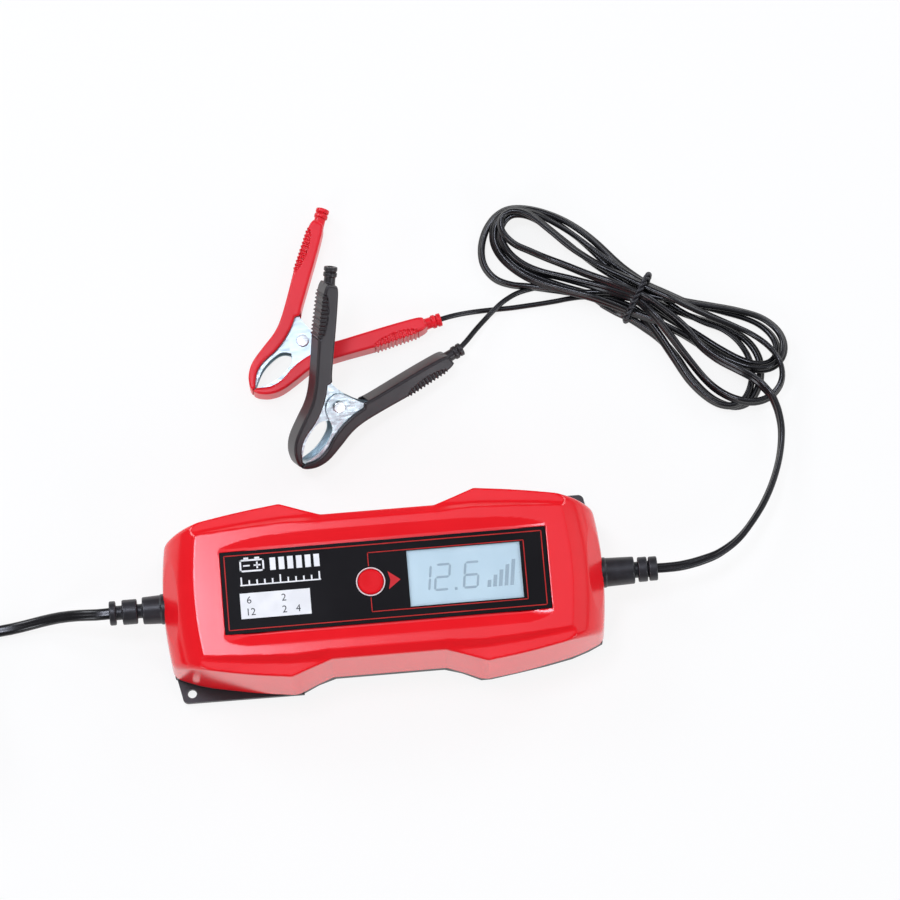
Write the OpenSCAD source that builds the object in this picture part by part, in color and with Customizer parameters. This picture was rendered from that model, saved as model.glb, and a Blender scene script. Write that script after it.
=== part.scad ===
// Car battery charger: a two-part housing with a display and a mode button, a mains lead
// with a two-pin plug, and a low-voltage lead with two sprung battery clamps.
// +X runs along the housing to the low-voltage end, +Y to the back, +Z up.
// The origin is the middle of the underside, on the surface that the feet rest on.

/* [Housing] */
// Length of the housing between its two ends
housing_length = 202.8; // [199:0.2:206]
// Height of the housing, from the feet to the rim round the display
housing_height = 46; // [45:0.5:48]
// Width across the wings, at the joint between the shells
wing_width = 83.4; // [82:0.2:85]
// Width across the waist, at the joint between the shells
waist_width = 70.8; // [69:0.2:72]
// Height of the joint between the two shells
joint_height = 6; // [5:0.5:7]
// Wall thickness of both shells
wall = 2.4; // [2:0.1:2.6]
// Radius in plan of the bowed ends
end_bow_radius = 170; // [150:5:200]
// Radius of the roll from the top down to the ends
end_roll_radius = 27; // [26:0.5:29]
// Lean of the flat over each lead's exit
exit_flat_angle = 30; // [27:1:33]

/* [Display] */
// Length of the black display panel
panel_length = 148.6; // [146:0.2:150]
// Width of the black display panel
panel_width = 38; // [36:0.2:39]
// Thickness of the black display panel
panel_thickness = 0.8; // [0.6:0.1:1]
// Length of the clear window over the display
window_length = 51.6; // [50:0.2:53]
// Width of the clear window over the display
window_width = 26; // [25:0.2:27]
// Middle of the clear window along the housing
window_x = 37.4; // [36:0.2:39]
// Diameter of the mode button's cap
button_diameter = 11.6; // [11:0.2:11.8]
// Middle of the mode button along the housing
button_x = -5.6; // [-7:0.2:-5]
// Travel of the mode button
button_travel = 0.6; // [0.4:0.1:0.6]

/* [Fixing ears] */
// Distance of each screw hole from the middle, along the housing
ear_hole_x = 91.5; // [90:0.5:92]
// Distance of each screw hole from the middle, across the housing
ear_hole_y = 37; // [36:0.5:37.5]
// Diameter of each screw hole
ear_hole_diameter = 4.2; // [3.5:0.1:4.5]

/* [Leads] */
// Height of both leads' exits
exit_height = 22; // [20:0.5:23]
// Width of the flat mains lead
mains_width = 5.4; // [5:0.2:5.6]
// Thickness of the flat mains lead
mains_thickness = 3.6; // [3.2:0.2:3.8]
// Width of the flat low-voltage lead, which stands on edge
output_width = 4.6; // [4.2:0.2:4.8]
// Thickness of the flat low-voltage lead
output_thickness = 2.6; // [2.2:0.2:2.6]
// Diameter of each single wire to a clamp
wire_diameter = 2.5; // [2.2:0.1:2.8]
// Turns in the mains lead's coil
coil_turns = 9.25; // [8.25:1:9.25]
// Loops in the low-voltage lead's hank
hank_loops = 5; // [4:1:5]

/* [Clamps] */
// Width of a clamp along its pivot
clamp_width = 12; // [11:0.5:12]
// Diameter of the pivot rivet's shank
rivet_diameter = 3.4; // [3:0.1:3.6]
// Sheet thickness of the steel jaws
sheet = 0.8; // [0.7:0.1:0.9]

/* [Hidden] */
$fn = 48;
eps = 0.01;

red_abs = "#e01b24";
black_abs = "#1c1c1f";
pvc = "#202024";
zinc = "#c4c8cc";

// ---- housing form ----
// Half widths and heights of the section, by distance from the middle along the housing.
wing = wing_width / 2;
waist = waist_width / 2;
top = housing_height;
foot_half = [[0, waist], [25, waist], [33, waist + 2.4], [41.5, wing], [46, wing],
    [58, wing - 1.7], [72, wing - 3.9], [84, wing - 6.3], [92, wing - 9], [106, wing - 15.4]];
edge_half = [[0, waist - 1.8], [25, waist - 1.8], [33, waist + 0.8], [41.5, wing - 1.2],
    [46, wing - 1.2], [58, wing - 2.9], [72, wing - 5.1], [84, wing - 7.5], [92, wing - 10.2],
    [106, wing - 16.6]];
edge_z = [[0, top - 7.2], [25, top - 7.2], [33, top - 7], [41.5, top - 6.8], [46, top - 6.3],
    [58, top - 5], [72, top - 3.2], [84, top - 1.6], [92, top - 0.6], [106, top - 0.1]];
step_half = [[0, 32.8], [25, 33], [33, 33.2], [41.5, 33.2], [46, 33], [58, 31.8], [72, 30],
    [84, 28], [92, 26], [106, 22]];
step_z = [[0, top - 6.5], [25, top - 6.5], [33, top - 6], [41.5, top - 5.2], [46, top - 4.8],
    [58, top - 3.4], [72, top - 1.9], [84, top - 0.5], [92, top - 0.2], [106, top - 0.05]];
rim_half = [[0, 29.4], [25, 30.2], [33, 30.8], [41.5, 30.6], [46, 30.4], [58, 29.4],
    [72, 28.4], [84, 27.3], [92, 25], [106, 21]];
stations = [for (row = foot_half) row[0]];
all_stations = concat([for (i = [len(stations) - 1:-1:1]) -stations[i]], stations);
half_length = housing_length / 2;
floor_gap = 1;
roof_inside = top - wall;
wing_ceiling = top - 7.2 - wall;

// One closed ring of the section at x, as points from the right foot over the top.
function half_ring(x) = let (a = abs(x)) [
    [lookup(a, foot_half), joint_height],
    [lookup(a, edge_half), lookup(a, edge_z)],
    [lookup(a, step_half), lookup(a, step_z)],
    [lookup(a, rim_half), top]];
function ring(x) = let (h = half_ring(x))
    concat([for (p = h) [x, -p[0], p[1]]], [for (i = [len(h) - 1:-1:0]) [x, h[i][0], h[i][1]]]);

// Triangles that close a stack of rings of n points each, with a fan at both ends.
function skin_faces(rings, n) = concat(
    [for (r = [0:rings - 2], i = [0:n - 1]) [r * n + i, r * n + (i + 1) % n, (r + 1) * n + i]],
    [for (r = [0:rings - 2], i = [0:n - 1])
        [r * n + (i + 1) % n, (r + 1) * n + (i + 1) % n, (r + 1) * n + i]],
    [for (i = [1:n - 2]) [0, i + 1, i]],
    [for (i = [1:n - 2]) let (last = (rings - 1) * n) [last, last + i, last + i + 1]]);

module section_loft() {
    points = [for (x = all_stations) each ring(x)];
    polyhedron(points, skin_faces(len(all_stations), 8));
}

// Side view of the housing drawn in by t: flat top, rolled ends.
module side_view(t) {
    roll = end_roll_radius - t;
    roll_x = half_length - end_roll_radius;
    roll_z = top - end_roll_radius * cos(25);
    arc = [for (a = [10:5:65]) [roll_x + roll * cos(a), roll_z + roll * sin(a)]];
    right = concat([[half_length + 1.5 - t, 0]], arc, [[roll_x, top + roll]]);
    polygon(concat(right, [for (i = [len(right) - 1:-1:0]) [-right[i][0], right[i][1]]]));
}

module bowed_ends(t, from, to) {
    intersection_for (side = [-1, 1])
        translate([-side * (end_bow_radius - half_length), 0, from])
            cylinder(r = end_bow_radius - t, h = to - from, $fn = 360);
}

// Flats over the lead exits: each starts just above the end's widest line and leans back to the top.
module exit_flats(t) {
    for (side = [0, 1]) mirror([side, 0, 0])
        translate([half_length - 0.5 - t, 0, exit_height + 6]) rotate([0, -exit_flat_angle, 0])
            translate([0, -30, -4]) cube([20, 60, 60]);
}

module housing_form() {
    difference() {
        intersection() {
            section_loft();
            rotate([90, 0, 0]) linear_extrude(100, center = true) side_view(0);
            bowed_ends(0, -1, 70);
        }
        exit_flats(0);
    }
}

// Outline of both shells where they meet, drawn in by t.
module joint_outline(t) {
    upper = [for (x = all_stations) [x, lookup(abs(x), foot_half) - t]];
    polygon(concat(upper, [for (i = [len(upper) - 1:-1:0]) [upper[i][0], -upper[i][1]]]));
}
module joint_block(t, from, to) {
    intersection() {
        translate([0, 0, from]) linear_extrude(to - from) joint_outline(t);
        bowed_ends(t, from, to);
    }
}

// Room inside the upper shell: straight up under the wings, higher under the plateau.
module cavity() {
    difference() {
        intersection() {
            union() {
                translate([0, 0, joint_height - 1]) linear_extrude(wing_ceiling - joint_height + 1)
                    joint_outline(wall + 1.2);
                translate([-half_length, -27.4, joint_height - 1])
                    cube([housing_length, 54.8, roof_inside - joint_height + 1]);
            }
            rotate([90, 0, 0]) linear_extrude(100, center = true) side_view(wall);
            bowed_ends(wall, -1, 70);
        }
        exit_flats(wall);
    }
}

panel_x = 1.2;
panel_top = top - 0.6;
panel_floor = panel_top - panel_thickness;
boss_points = [for (x = [-84, 84], y = [-24, 24]) [x, y]];
display_posts = [[-20, -13], [-20, 13], [80, -13], [80, 13]];
display_board_z = 36;
board_z = 10;
board_length = 150;
board_width = 58;
board_thickness = 1.6;
board_top = board_z + board_thickness;
board_points = [for (x = [-69, 69], y = [-24, 24]) [x, y]];
screw_shank = 2.6;
gland_neck = 9.6;
exit_x = half_length - 1.1;

// Shallow scoop along one long side of the panel, deepest against the panel.
module panel_scoop() {
    half = panel_length / 2 + 1;
    rise = 5.4;
    bow = (half * half + rise * rise) / (2 * rise);
    reach = asin(half / bow);
    translate([panel_x, panel_width / 2 - 0.4, panel_top]) rotate([5.6, 0, 0])
        linear_extrude(4)
            polygon([for (a = [-reach:reach / 12:reach]) [bow * sin(a), bow * (cos(a) - 1) + rise]]);
}

module upper_shell() {
    color(red_abs) difference() {
        union() {
            difference() {
                housing_form();
                cavity();
                joint_block(wall, joint_height - 1, joint_height + 2.4);
            }
            for (p = boss_points) translate([p[0], p[1], joint_height + 2.2])
                cylinder(d = 7, h = 32);
            for (p = display_posts) translate([p[0], p[1], display_board_z + 1.2])
                cylinder(d = 5, h = roof_inside - display_board_z - 1.2 + 0.4);
        }
        // seat of the panel, with the openings under it
        translate([panel_x - panel_length / 2 - 0.1, -panel_width / 2 - 0.1, panel_floor])
            cube([panel_length + 0.2, panel_width + 0.2, 10]);
        translate([window_x - 28.2, -14.9, 30]) cube([56.4, 29.8, 20]);
        translate([button_x, 0, 38]) cylinder(d = 13.6, h = 12);
        for (side = [0, 1]) mirror([0, side, 0]) panel_scoop();
        // pilot holes
        for (p = boss_points) translate([p[0], p[1], joint_height]) cylinder(d = screw_shank, h = 16);
        for (p = display_posts) translate([p[0], p[1], display_board_z]) cylinder(d = 1.8, h = 5.6);
        // lead exits, with a round seat for each gland's collar
        rotate([0, 90, 0]) translate([-exit_height, 0, -110]) cylinder(d = gland_neck + 0.1, h = 220);
        for (side = [-1, 1]) translate([side * exit_x, 0, exit_height]) rotate([0, side * 90, 0])
            cylinder(d = 14.4, h = 8);
    }
}

ear_corner = 2.6;
ear_thickness = 3.2;
module ear() {
    difference() {
        translate([0, 0, floor_gap]) linear_extrude(ear_thickness) difference() {
            union() {
                polygon([[40, 30], [40, wing - 0.2], [93.4, 41.2], [93.4, 30]]);
                polygon([[80, 20], [80, 38.6], [96, 38.6], [97.8, 30], [98.6, 20]]);
                translate([96 - ear_corner, 41.2 - ear_corner]) circle(ear_corner);
            }
            translate([ear_hole_x, ear_hole_y]) circle(d = ear_hole_diameter);
        }
        joint_block(0.6, 0, 10);
    }
}

foot_points = [for (x = [-72, 72], y = [-26, 26]) [x, y]];
foot_diameter = 10;
column_top = joint_height + 2.2;
lip_gap = 0.15;
module lower_shell() {
    floor_top = floor_gap + wall;
    color(black_abs) difference() {
        union() {
            difference() {
                union() {
                    joint_block(0.3, floor_gap, joint_height);
                    joint_block(wall + lip_gap, joint_height - 1, joint_height + 2);
                }
                joint_block(wall + 1.8, floor_top, joint_height + 3);
            }
            for (turn = [0, 180]) rotate([0, 0, turn]) ear();
            for (p = boss_points) translate([p[0], p[1], floor_gap])
                cylinder(d = 9, h = column_top - floor_gap);
            for (p = board_points) translate([p[0], p[1], floor_top - eps])
                cylinder(d = 6.4, h = board_z - floor_top + eps);
            for (y = [-11, 11]) translate([-60, y - 0.8, floor_top - eps])
                cube([120, 1.6, 3]);
        }
        for (p = boss_points) translate([p[0], p[1], 0]) {
            cylinder(d = 6.2, h = 4);
            cylinder(d = 3.2, h = 20);
        }
        for (p = board_points) translate([p[0], p[1], 4.4]) cylinder(d = 2.2, h = 10);
        for (p = foot_points) translate([p[0], p[1], 0]) cylinder(d = foot_diameter, h = floor_gap + 0.8);
        for (x = [-36:6:36], y = [-22, 22]) translate([x - 1, y - 6, 0]) cube([2, 12, 6]);
        rotate([0, 90, 0]) translate([-exit_height, 0, -120]) cylinder(d = 14.5, h = 240);
    }
}

module feet() {
    color("#2a2a2c") for (p = foot_points) translate([p[0], p[1], 0]) difference() {
        cylinder(d = foot_diameter - 0.2, h = floor_gap + 0.8);
        translate([0, 0, -eps]) cylinder(d = 4.4, h = 0.6);
    }
}

// Pan-head screw standing on its head at z = 0, with a cross recess.
module screw(head, head_height, shank, shank_length) {
    difference() {
        union() {
            cylinder(d = head, h = head_height);
            cylinder(d = shank, h = head_height + shank_length);
        }
        for (turn = [0, 90]) rotate([0, 0, turn]) translate([-head * 0.32, -0.35, -eps])
            cube([head * 0.64, 0.7, head_height * 0.55]);
    }
}

module housing_screws() {
    color(zinc) for (p = boss_points) translate([p[0], p[1], 1.6])
        screw(5.6, 2.4, screw_shank - 0.1, 14);
}

module display_panel() {
    color("#141416") translate([0, 0, panel_floor]) difference() {
        translate([panel_x - panel_length / 2, -panel_width / 2, 0])
            cube([panel_length, panel_width, panel_thickness]);
        translate([window_x - window_length / 2, -window_width / 2, -1])
            cube([window_length, window_width, 3]);
        translate([button_x, 0, -1]) cylinder(d = 13.4, h = 3);
    }
}

module display_window() {
    color("#b8cddb") translate([window_x - window_length / 2 + 0.05, -window_width / 2 + 0.05,
        panel_floor]) cube([window_length - 0.1, window_width - 0.1, panel_thickness - 0.1]);
}

module display_glass() {
    color("#a9c0cf") translate([window_x - 27, -14, 40.4]) {
        cube([54, 28, panel_floor - 40.4 - 0.05]);
        translate([0.5, 1, -1.6]) cube([53, 26, 1.6]);
    }
}

module display_holder() {
    color("#e9e9e6") translate([window_x, 0, display_board_z + 1.2]) difference() {
        translate([-29.6, -16, 0]) cube([59.2, 32, roof_inside - display_board_z - 1.5]);
        translate([-27.1, -14.1, -1]) cube([54.2, 28.2, 20]);
        translate([-27.1, -14.9, 5.6]) cube([54.2, 29.8, 20]);
    }
}

module display_board() {
    color("#1f6b3a") difference() {
        translate([-25, -17, display_board_z]) cube([110, 34, 1.2]);
        for (p = display_posts) translate([p[0], p[1], display_board_z - 1]) cylinder(d = 2.2, h = 4);
    }
}

module mode_button() {
    color("#d8222a") translate([button_x, 0, 0]) {
        translate([0, 0, 43]) cylinder(d = button_diameter, h = panel_top - 43 + 0.8);
        difference() {
            translate([0, 0, roof_inside - 1.5]) cylinder(d = 15.6, h = 1.4);
            for (turn = [0, 180]) rotate([0, 0, turn]) translate([6.9, -1.2, 40]) cube([3, 2.4, 4]);
        }
        translate([0, 0, display_board_z + 3.3 + button_travel + 0.1])
            cylinder(d = 4, h = roof_inside - display_board_z - 4.4 - button_travel);
    }
}

module button_bezel() {
    color("#f1dcdc") translate([button_x, 0, panel_floor]) difference() {
        cylinder(d = 13.3, h = panel_thickness + 0.3);
        translate([0, 0, -1]) cylinder(d = button_diameter + 0.6, h = 4);
    }
}

module button_switch() {
    color("#3a3a3e") translate([button_x, 0, display_board_z + 1.2]) {
        translate([-3, -3, 0]) cube([6, 6, 1.6]);
        cylinder(d = 3.4, h = 2.1);
    }
}

module display_screws() {
    color(zinc) for (p = display_posts) translate([p[0], p[1], display_board_z - 1.3])
        screw(3.6, 1.3, 1.7, 5);
}

module main_board() {
    color("#b08a45") difference() {
        translate([-board_length / 2, -board_width / 2, board_z])
            cube([board_length, board_width, board_thickness]);
        for (p = board_points) translate([p[0], p[1], board_z - 1]) cylinder(d = 3, h = 4);
    }
}

module board_screws() {
    color(zinc) for (p = board_points) translate([p[0], p[1], board_top + 1.6]) mirror([0, 0, 1])
        screw(4.8, 1.6, 2.1, 6);
}

// ---- parts on the main board ----
core_length = 28;
core_width = 22;
core_height = 19;
module transformer_core() {
    color("#3b3b3f") translate([-12, 0, board_top + 2.4]) difference() {
        translate([-core_length / 2, -core_width / 2, 0]) cube([core_length, core_width, core_height]);
        for (side = [-1, 1]) translate([side * 7.4 - 3.4, -core_width, 4])
            cube([6.8, 2 * core_width, core_height - 8]);
    }
}

// Bobbin with its winding: fills the two windows of the core, with a flange at each end.
module transformer_winding() {
    color("#c9a227") translate([-12, 0, board_top]) difference() {
        union() {
            translate([-10.7, -core_width / 2 - 5, 6.5]) cube([21.4, core_width + 10, 10.8]);
            for (side = [0, 1]) mirror([0, side, 0])
                translate([-13, core_width / 2 + 0.1, 0]) cube([26, 5.2, 6.6]);
        }
        translate([-4.1, -core_width / 2 - 0.1, 0]) cube([8.2, core_width + 0.2, 30]);
    }
}

module mains_capacitor() {
    color("#26282e") translate([-60, 12, board_top + 9.1]) rotate([0, 90, 0]) {
        cylinder(d = 18, h = 30);
        translate([0, 0, 30]) cylinder(d = 16.6, h = 0.6);
        for (y = [-3.7, 3.7]) translate([0, y, -1.6]) rotate([0, 0, 0]) cylinder(d = 1, h = 1.8);
    }
}

module output_capacitors() {
    color("#2b3350") for (x = [28, 40, 52]) translate([x, -15, board_top]) {
        cylinder(d = 10, h = 19);
        translate([0, 0, 19]) cylinder(d = 8.8, h = 0.4);
    }
}

module mains_choke() {
    color("#b5652b") translate([-52, -14, board_top]) {
        translate([0, 0, 1.2]) rotate_extrude() translate([6.2, 4.4]) circle(d = 8.6);
        translate([-9, -9, 0]) cube([18, 18, 1.6]);
    }
}

module fuse() {
    color("#e5e2d6") translate([-27, -20, board_top + 4.4]) rotate([0, 90, 0]) {
        cylinder(d = 5, h = 20);
        for (z = [1.5, 15]) translate([-0.6, -3.2, z]) cube([5, 6.4, 3.4]);
    }
}

fin_count = 9;
module heatsink() {
    color("#aeb2b6") translate([14, 14, board_top]) {
        cube([46, 3, 23]);
        for (i = [0:fin_count - 1]) translate([i * (46 - 1.4) / (fin_count - 1), 2.5, 0])
            cube([1.4, 9.5, 23]);
    }
}

module power_transistors() {
    color("#1e1e20") for (x = [20, 34, 48]) translate([x - 5, 9.3, board_top]) {
        translate([0, 0, 5]) cube([10, 4.5, 9.4]);
        translate([0, 3.2, 5]) cube([10, 1.4, 15.6]);
        for (pin = [2.2, 4.6, 7]) translate([pin, 1.6, 0]) cube([0.8, 0.6, 5.2]);
    }
}

// ---- glands ----
gland_length = 25.6;
// Segmented rubber gland along +X from the housing's wall: collar, two rings, core and inner flange.
module gland(collar, gap, ring_a, ring_b, ring_diameter, lead_width, lead_height) {
    difference() {
        union() {
            rotate([0, 90, 0]) {
                translate([0, 0, -3]) cylinder(d = gland_neck, h = 4.5);
                translate([0, 0, -5.2]) cylinder(d = 13, h = 2.8);
                translate([0, 0, 0.1]) cylinder(d1 = 14, d2 = 12.6, h = collar - 0.1);
                cylinder(d = 7.4, h = gland_length);
                translate([0, 0, collar + gap])
                    cylinder(d1 = ring_diameter + 0.6, d2 = ring_diameter, h = ring_a);
                translate([0, 0, gland_length - ring_b]) cylinder(d = ring_diameter, h = ring_b);
            }
            for (side = [-1, 1])
                translate([2, -1.3, side * 3 - 2.4]) cube([gland_length - 3, 2.6, 4.8]);
        }
        translate([gland_length - 6, -lead_width / 2, -lead_height / 2])
            cube([8, lead_width, lead_height]);
    }
}

module mains_gland() {
    color(pvc) translate([-exit_x, 0, exit_height]) mirror([1, 0, 0])
        gland(10.4, 2.4, 6.9, 3, 11.2, 3.4, 2.6);
}
module output_gland() {
    color(pvc) translate([exit_x, 0, exit_height]) gland(15, 1.7, 4.3, 3.9, 11.2, 2, 3);
}

// Two inner wires from a gland's inner end down to the board.
module tails(start, drop) {
    angle = atan2(drop[1], drop[0]);
    for (y = [-2, 2]) {
        translate([start[0], y, start[1]]) rotate([0, 90 + angle, 0]) cylinder(d = 1.8, h = norm(drop));
        translate([start[0] + drop[0], y, board_top])
            cylinder(d = 2.6, h = start[1] - drop[1] - board_top + 0.4);
    }
}
tail_start = exit_x - 5.8;
module mains_tails() {
    color("#6b4a2f") mirror([1, 0, 0]) tails([tail_start, exit_height], [-27.8, 9]);
}
module output_tails() {
    color("#8c1d1d") tails([tail_start, exit_height], [-27.8, 9]);
}

// ---- leads ----
// Catmull-Rom curve through points p, with n pieces between neighbours.
function blend(a, b, c, d, s) = 0.5 * ((2 * b) + (c - a) * s + (2 * a - 5 * b + 4 * c - d) * s * s
    + (3 * b - a - 3 * c + d) * s * s * s);
function curve(p, n) = let (m = len(p) - 1) concat(
    [for (i = [0:m - 1], k = [0:n - 1]) blend(p[max(i - 1, 0)], p[i], p[i + 1], p[min(i + 2, m)], k / n)],
    [p[m]]);
function unit(v) = v / norm(v);
function heading(p, i) = unit(p[min(i + 1, len(p) - 1)] - p[max(i - 1, 0)]);
// Rings of a tube of the given width and height that follows path p.
function tube_points(p, width, height, sides) = [for (i = [0:len(p) - 1])
    let (t = heading(p, i), side = unit(cross(t, [0, 0, 1])), up = cross(side, t))
        for (k = [0:sides - 1]) let (a = (k + 0.5) * 360 / sides)
            p[i] + side * (cos(a) * width / 2) + up * (sin(a) * height / 2)];
module tube(p, width, height, sides) {
    polyhedron(tube_points(p, width, height, sides), skin_faces(len(p), sides));
}

gland_end = exit_x + gland_length;
mains_route = [[-gland_end, 0, 22], [-132, 0, 21.6], [-140, 1, 18.5], [-149, 2, 12.6],
    [-158, 2, 7], [-168, 1, 3.4], [-178, 0, 2.4], [-196, -1, 2.8], [-214, -1.7, 3.3]];

coil_middle = [-228, -36.6];
coil_outer = 35;
coil_pitch = 5.8;
coil_layer = 5.6;
coil_layer_turns = 2.25;
coil_floor = 3.4;
// Share of the way in, 0 outside to 1 inside, and the layer, after t turns.
function coil_in(t) = let (u = t / coil_layer_turns, k = floor(u))
    (u > 4) ? 4 - u : (k % 2 == 0) ? u - k : 1 - (u - k);
function coil_layer_at(t) = let (u = t / coil_layer_turns, k = round(u), s = (t - k * coil_layer_turns) * 2)
    (k < 1 || k > 3) ? floor(u + eps) : (abs(s) < 0.5) ? k - 0.5 + s : floor(u);
function coil_point(t) = let (r = coil_outer - coil_in(t) * coil_layer_turns * coil_pitch, a = 90 + 360 * t)
    [coil_middle[0] + r * cos(a), coil_middle[1] + r * sin(a),
        coil_floor + min(coil_layer_at(t), 3) * coil_layer];
coil_steps = 24;
coil_count = floor(coil_turns * coil_steps);
coil_path = [for (i = [0:coil_count]) coil_point(i / coil_steps)];
function lead_in(p, d) = let (t = unit(p[0] - p[1])) p[0] + t * d;
function lead_out(p, d) = let (n = len(p) - 1, t = unit(p[n] - p[n - 1])) p[n] + t * d;
coil_run = concat([coil_path[0] + [mains_width, 0, 0]], coil_path, [lead_out(coil_path, mains_width)]);
coil_end = coil_run[len(coil_run) - 1];

tail_route = [coil_end, coil_end + [-0.8, -10, -0.8], coil_end + [-1.4, -21, -5.4],
    coil_end + [-1.2, -33, -11.4], coil_end + [0, -45, -13.4]];
plug_base = tail_route[4];

// Least gap between turns of a run: distance between points at least half a turn apart, less
// the tube's size there.
function least_gap(p, apart, size) = min([for (i = [0:len(p) - 1], j = [i + apart:1:len(p) - 1])
    norm(p[i] - p[j])]) - size;
echo(coil_gap = least_gap(coil_path, 12, mains_width - 0.6));

output_route = [[gland_end, 0, 22], [131, 0, 21.7], [138, 0.6, 20], [147, 2.6, 15], [156, 6, 9.4],
    [166, 13, 4.6], [176, 25, 2.6], [183, 37, 2.4], [188, 50, 2.4], [190, 62, 2.4], [189.4, 71, 2.4],
    [186, 78.6, 2.4]];

// ---- hank ----
hank_middle = [129.5, 132];
hank_angle = -32;
hank_reach = 79;
hank_step = 3.5;
hank_width = 25;
waist_half = 9.4;
waist_step = 3.15;
hank_layer = 5.2;
// Share of the pinch at distance u along the hank: 1 at the tie, 0 in the lobes.
function pinch(u) = exp(-pow(u / 24, 2));
// Inward count of turns (0 outside, 2 inside) and layer after t loops.
function hank_in(t) = t < 2.5 ? min(t, 2.5) : 5 - t;
function hank_layer_at(t) = t < 2.25 ? 0 : t > 2.75 ? 1 : (t - 2.25) * 2;
// A loop starts at the right end and runs clockwise; u is along the hank and w across it.
function hank_point(t) = let (
        q = hank_in(t), a = 360 * t, u = (hank_reach - q * hank_step) * cos(a), grip = pinch(u),
        lobe = (hank_width - q * hank_step) * sin(a), tied = sign(sin(a)) * (waist_half - q * waist_step),
        w = -(lobe * (1 - grip) + tied * grip))
    [hank_middle[0] + u * cos(hank_angle) - w * sin(hank_angle),
        hank_middle[1] + u * sin(hank_angle) + w * cos(hank_angle),
        2.4 + hank_layer_at(t) * hank_layer + 1.4 * grip];
hank_from = 0.12;
hank_to = hank_loops + 0.29;
hank_steps = 24;
hank_path = [for (i = [0:round((hank_to - hank_from) * hank_steps)]) hank_point(hank_from + i / hank_steps)];
hank_run = concat([lead_in(hank_path, output_width)], hank_path, [lead_out(hank_path, output_width)]);
echo(hank_gap = least_gap(hank_path, 12, output_thickness));
hank_start = hank_run[0];
hank_end = hank_run[len(hank_run) - 1];

output_lead_path = curve(concat(output_route,
    [hank_start - unit(hank_run[1] - hank_start) * 10, hank_start]), 2);
hank_heading = unit(hank_end - hank_path[len(hank_path) - 1]);
red_route = [hank_end - [0, 0, 1.3], hank_end + 4 * hank_heading - [0, 0, 1.3], [92, 129.2, 5],
    [84, 130.2, 3], [75, 131.4, 1.8], [66, 132.4, 1.4], [56, 132.6, 1.8], [49.5, 132.4, 3.6],
    [43, 131.3, 5.4], [38.6, 130.2, 6], [34.5, 129.2, 6]];
black_route = [hank_end + [0, 0, 1.3], hank_end + 4 * hank_heading + [0, 0, 1.3], [92, 129.2, 7.8],
    [84, 130, 6], [75, 130.2, 4.8], [67, 128.4, 4.4], [60.4, 124.4, 5], [55.6, 120.6, 6.2],
    [51, 117.6, 7], [47, 115.5, 7.2], [43.1, 113.4, 7.3]];

module mains_lead() {
    color(pvc) tube(curve(concat(mains_route, [coil_run[0]]), 2), mains_width, mains_thickness, 8);
}
module mains_coil() {
    color(pvc) tube(coil_run, mains_width - 1, mains_width - 0.8, 6);
}
module mains_tail() {
    color(pvc) tube(curve(tail_route, 3), mains_width, mains_thickness, 8);
}
module output_lead() {
    color(pvc) tube(output_lead_path, output_thickness, output_width, 8);
}
module output_hank() {
    color(pvc) tube(hank_run, output_thickness, output_width, 6);
}
module red_wire() {
    color(pvc) tube(curve(red_route, 2), wire_diameter, wire_diameter, 8);
}
module black_wire() {
    color(pvc) tube(curve(black_route, 2), wire_diameter, wire_diameter, 8);
}

// Closed band of wire round a bundle: a rounded rectangle outside and inside.
module band(width, height, thick, depth) {
    module outline(w, h, r) {
        for (x = [-1, 1], y = [-1, 1]) translate([x * (w / 2 - r), y * (h / 2 - r)]) circle(r);
        square([w - 2 * r, h], center = true);
        square([w, h - 2 * r], center = true);
    }
    rotate([90, 0, 0]) linear_extrude(depth, center = true) difference() {
        outline(width, height, 2.4);
        outline(width - 2 * thick, height - 2 * thick, 1.4);
    }
}
hank_stack = 2 * hank_layer + 0.2;
module hank_tie() {
    color("#161618") translate([hank_middle[0], hank_middle[1], hank_stack / 2 + 1.2])
        rotate([0, 0, hank_angle + 90]) {
            for (y = [-2.2, 1.6]) translate([0, y, 0]) band(28.8, hank_stack + 2.4, 1, 2.4);
            translate([-15.1, -4, -1]) cube([1.4, 8, 2]);
        }
}
coil_stack = 3 * coil_layer + mains_width + 1.6;
module coil_tie() {
    color("#161618") translate([coil_middle[0], coil_middle[1] - coil_outer + 6.6, coil_stack / 2 + 0.1])
        rotate([0, 0, 90]) band(20.6, coil_stack, 0.9, 2.6);
}

// ---- plug ----
plug_length = 34;
plug_z = plug_base[2];
// Flat two-pin plug that points along -Y, with its strain relief behind it.
module plug_body() {
    color(black_abs) translate([plug_base[0], plug_base[1], plug_z]) rotate([90, 0, 0]) difference() {
        union() {
            translate([0, 0, 16]) linear_extrude(plug_length) {
                square([22.3, 13.2], center = true);
                for (x = [-11.1, 11.1]) translate([x, 0]) circle(d = 13.2);
            }
            translate([0, 0, 8]) linear_extrude(8 + eps) {
                square([14, 11], center = true);
                for (x = [-7, 7]) translate([x, 0]) circle(d = 11);
            }
            cylinder(d1 = 7, d2 = 9.4, h = 9);
        }
        for (x = [-9.4, 9.4]) translate([x, 0, 16 + plug_length - 8]) cylinder(d = 3.4, h = 9);
        translate([-2, -1.2, -1]) cube([4, 2.4, 3]);
    }
}
pin_length = 19;
module plug_pins() {
    color(zinc) translate([plug_base[0], plug_base[1], plug_z]) rotate([90, 0, 0])
        for (x = [-9.4, 9.4]) translate([x, 0, 16 + plug_length - 8]) {
            cylinder(d = 3.4, h = 8 + eps);
            translate([0, 0, 8]) cylinder(d = 4, h = pin_length - 2);
            translate([0, 0, 8 + pin_length - 2]) cylinder(d1 = 4, d2 = 2.2, h = 2);
        }
}

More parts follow.
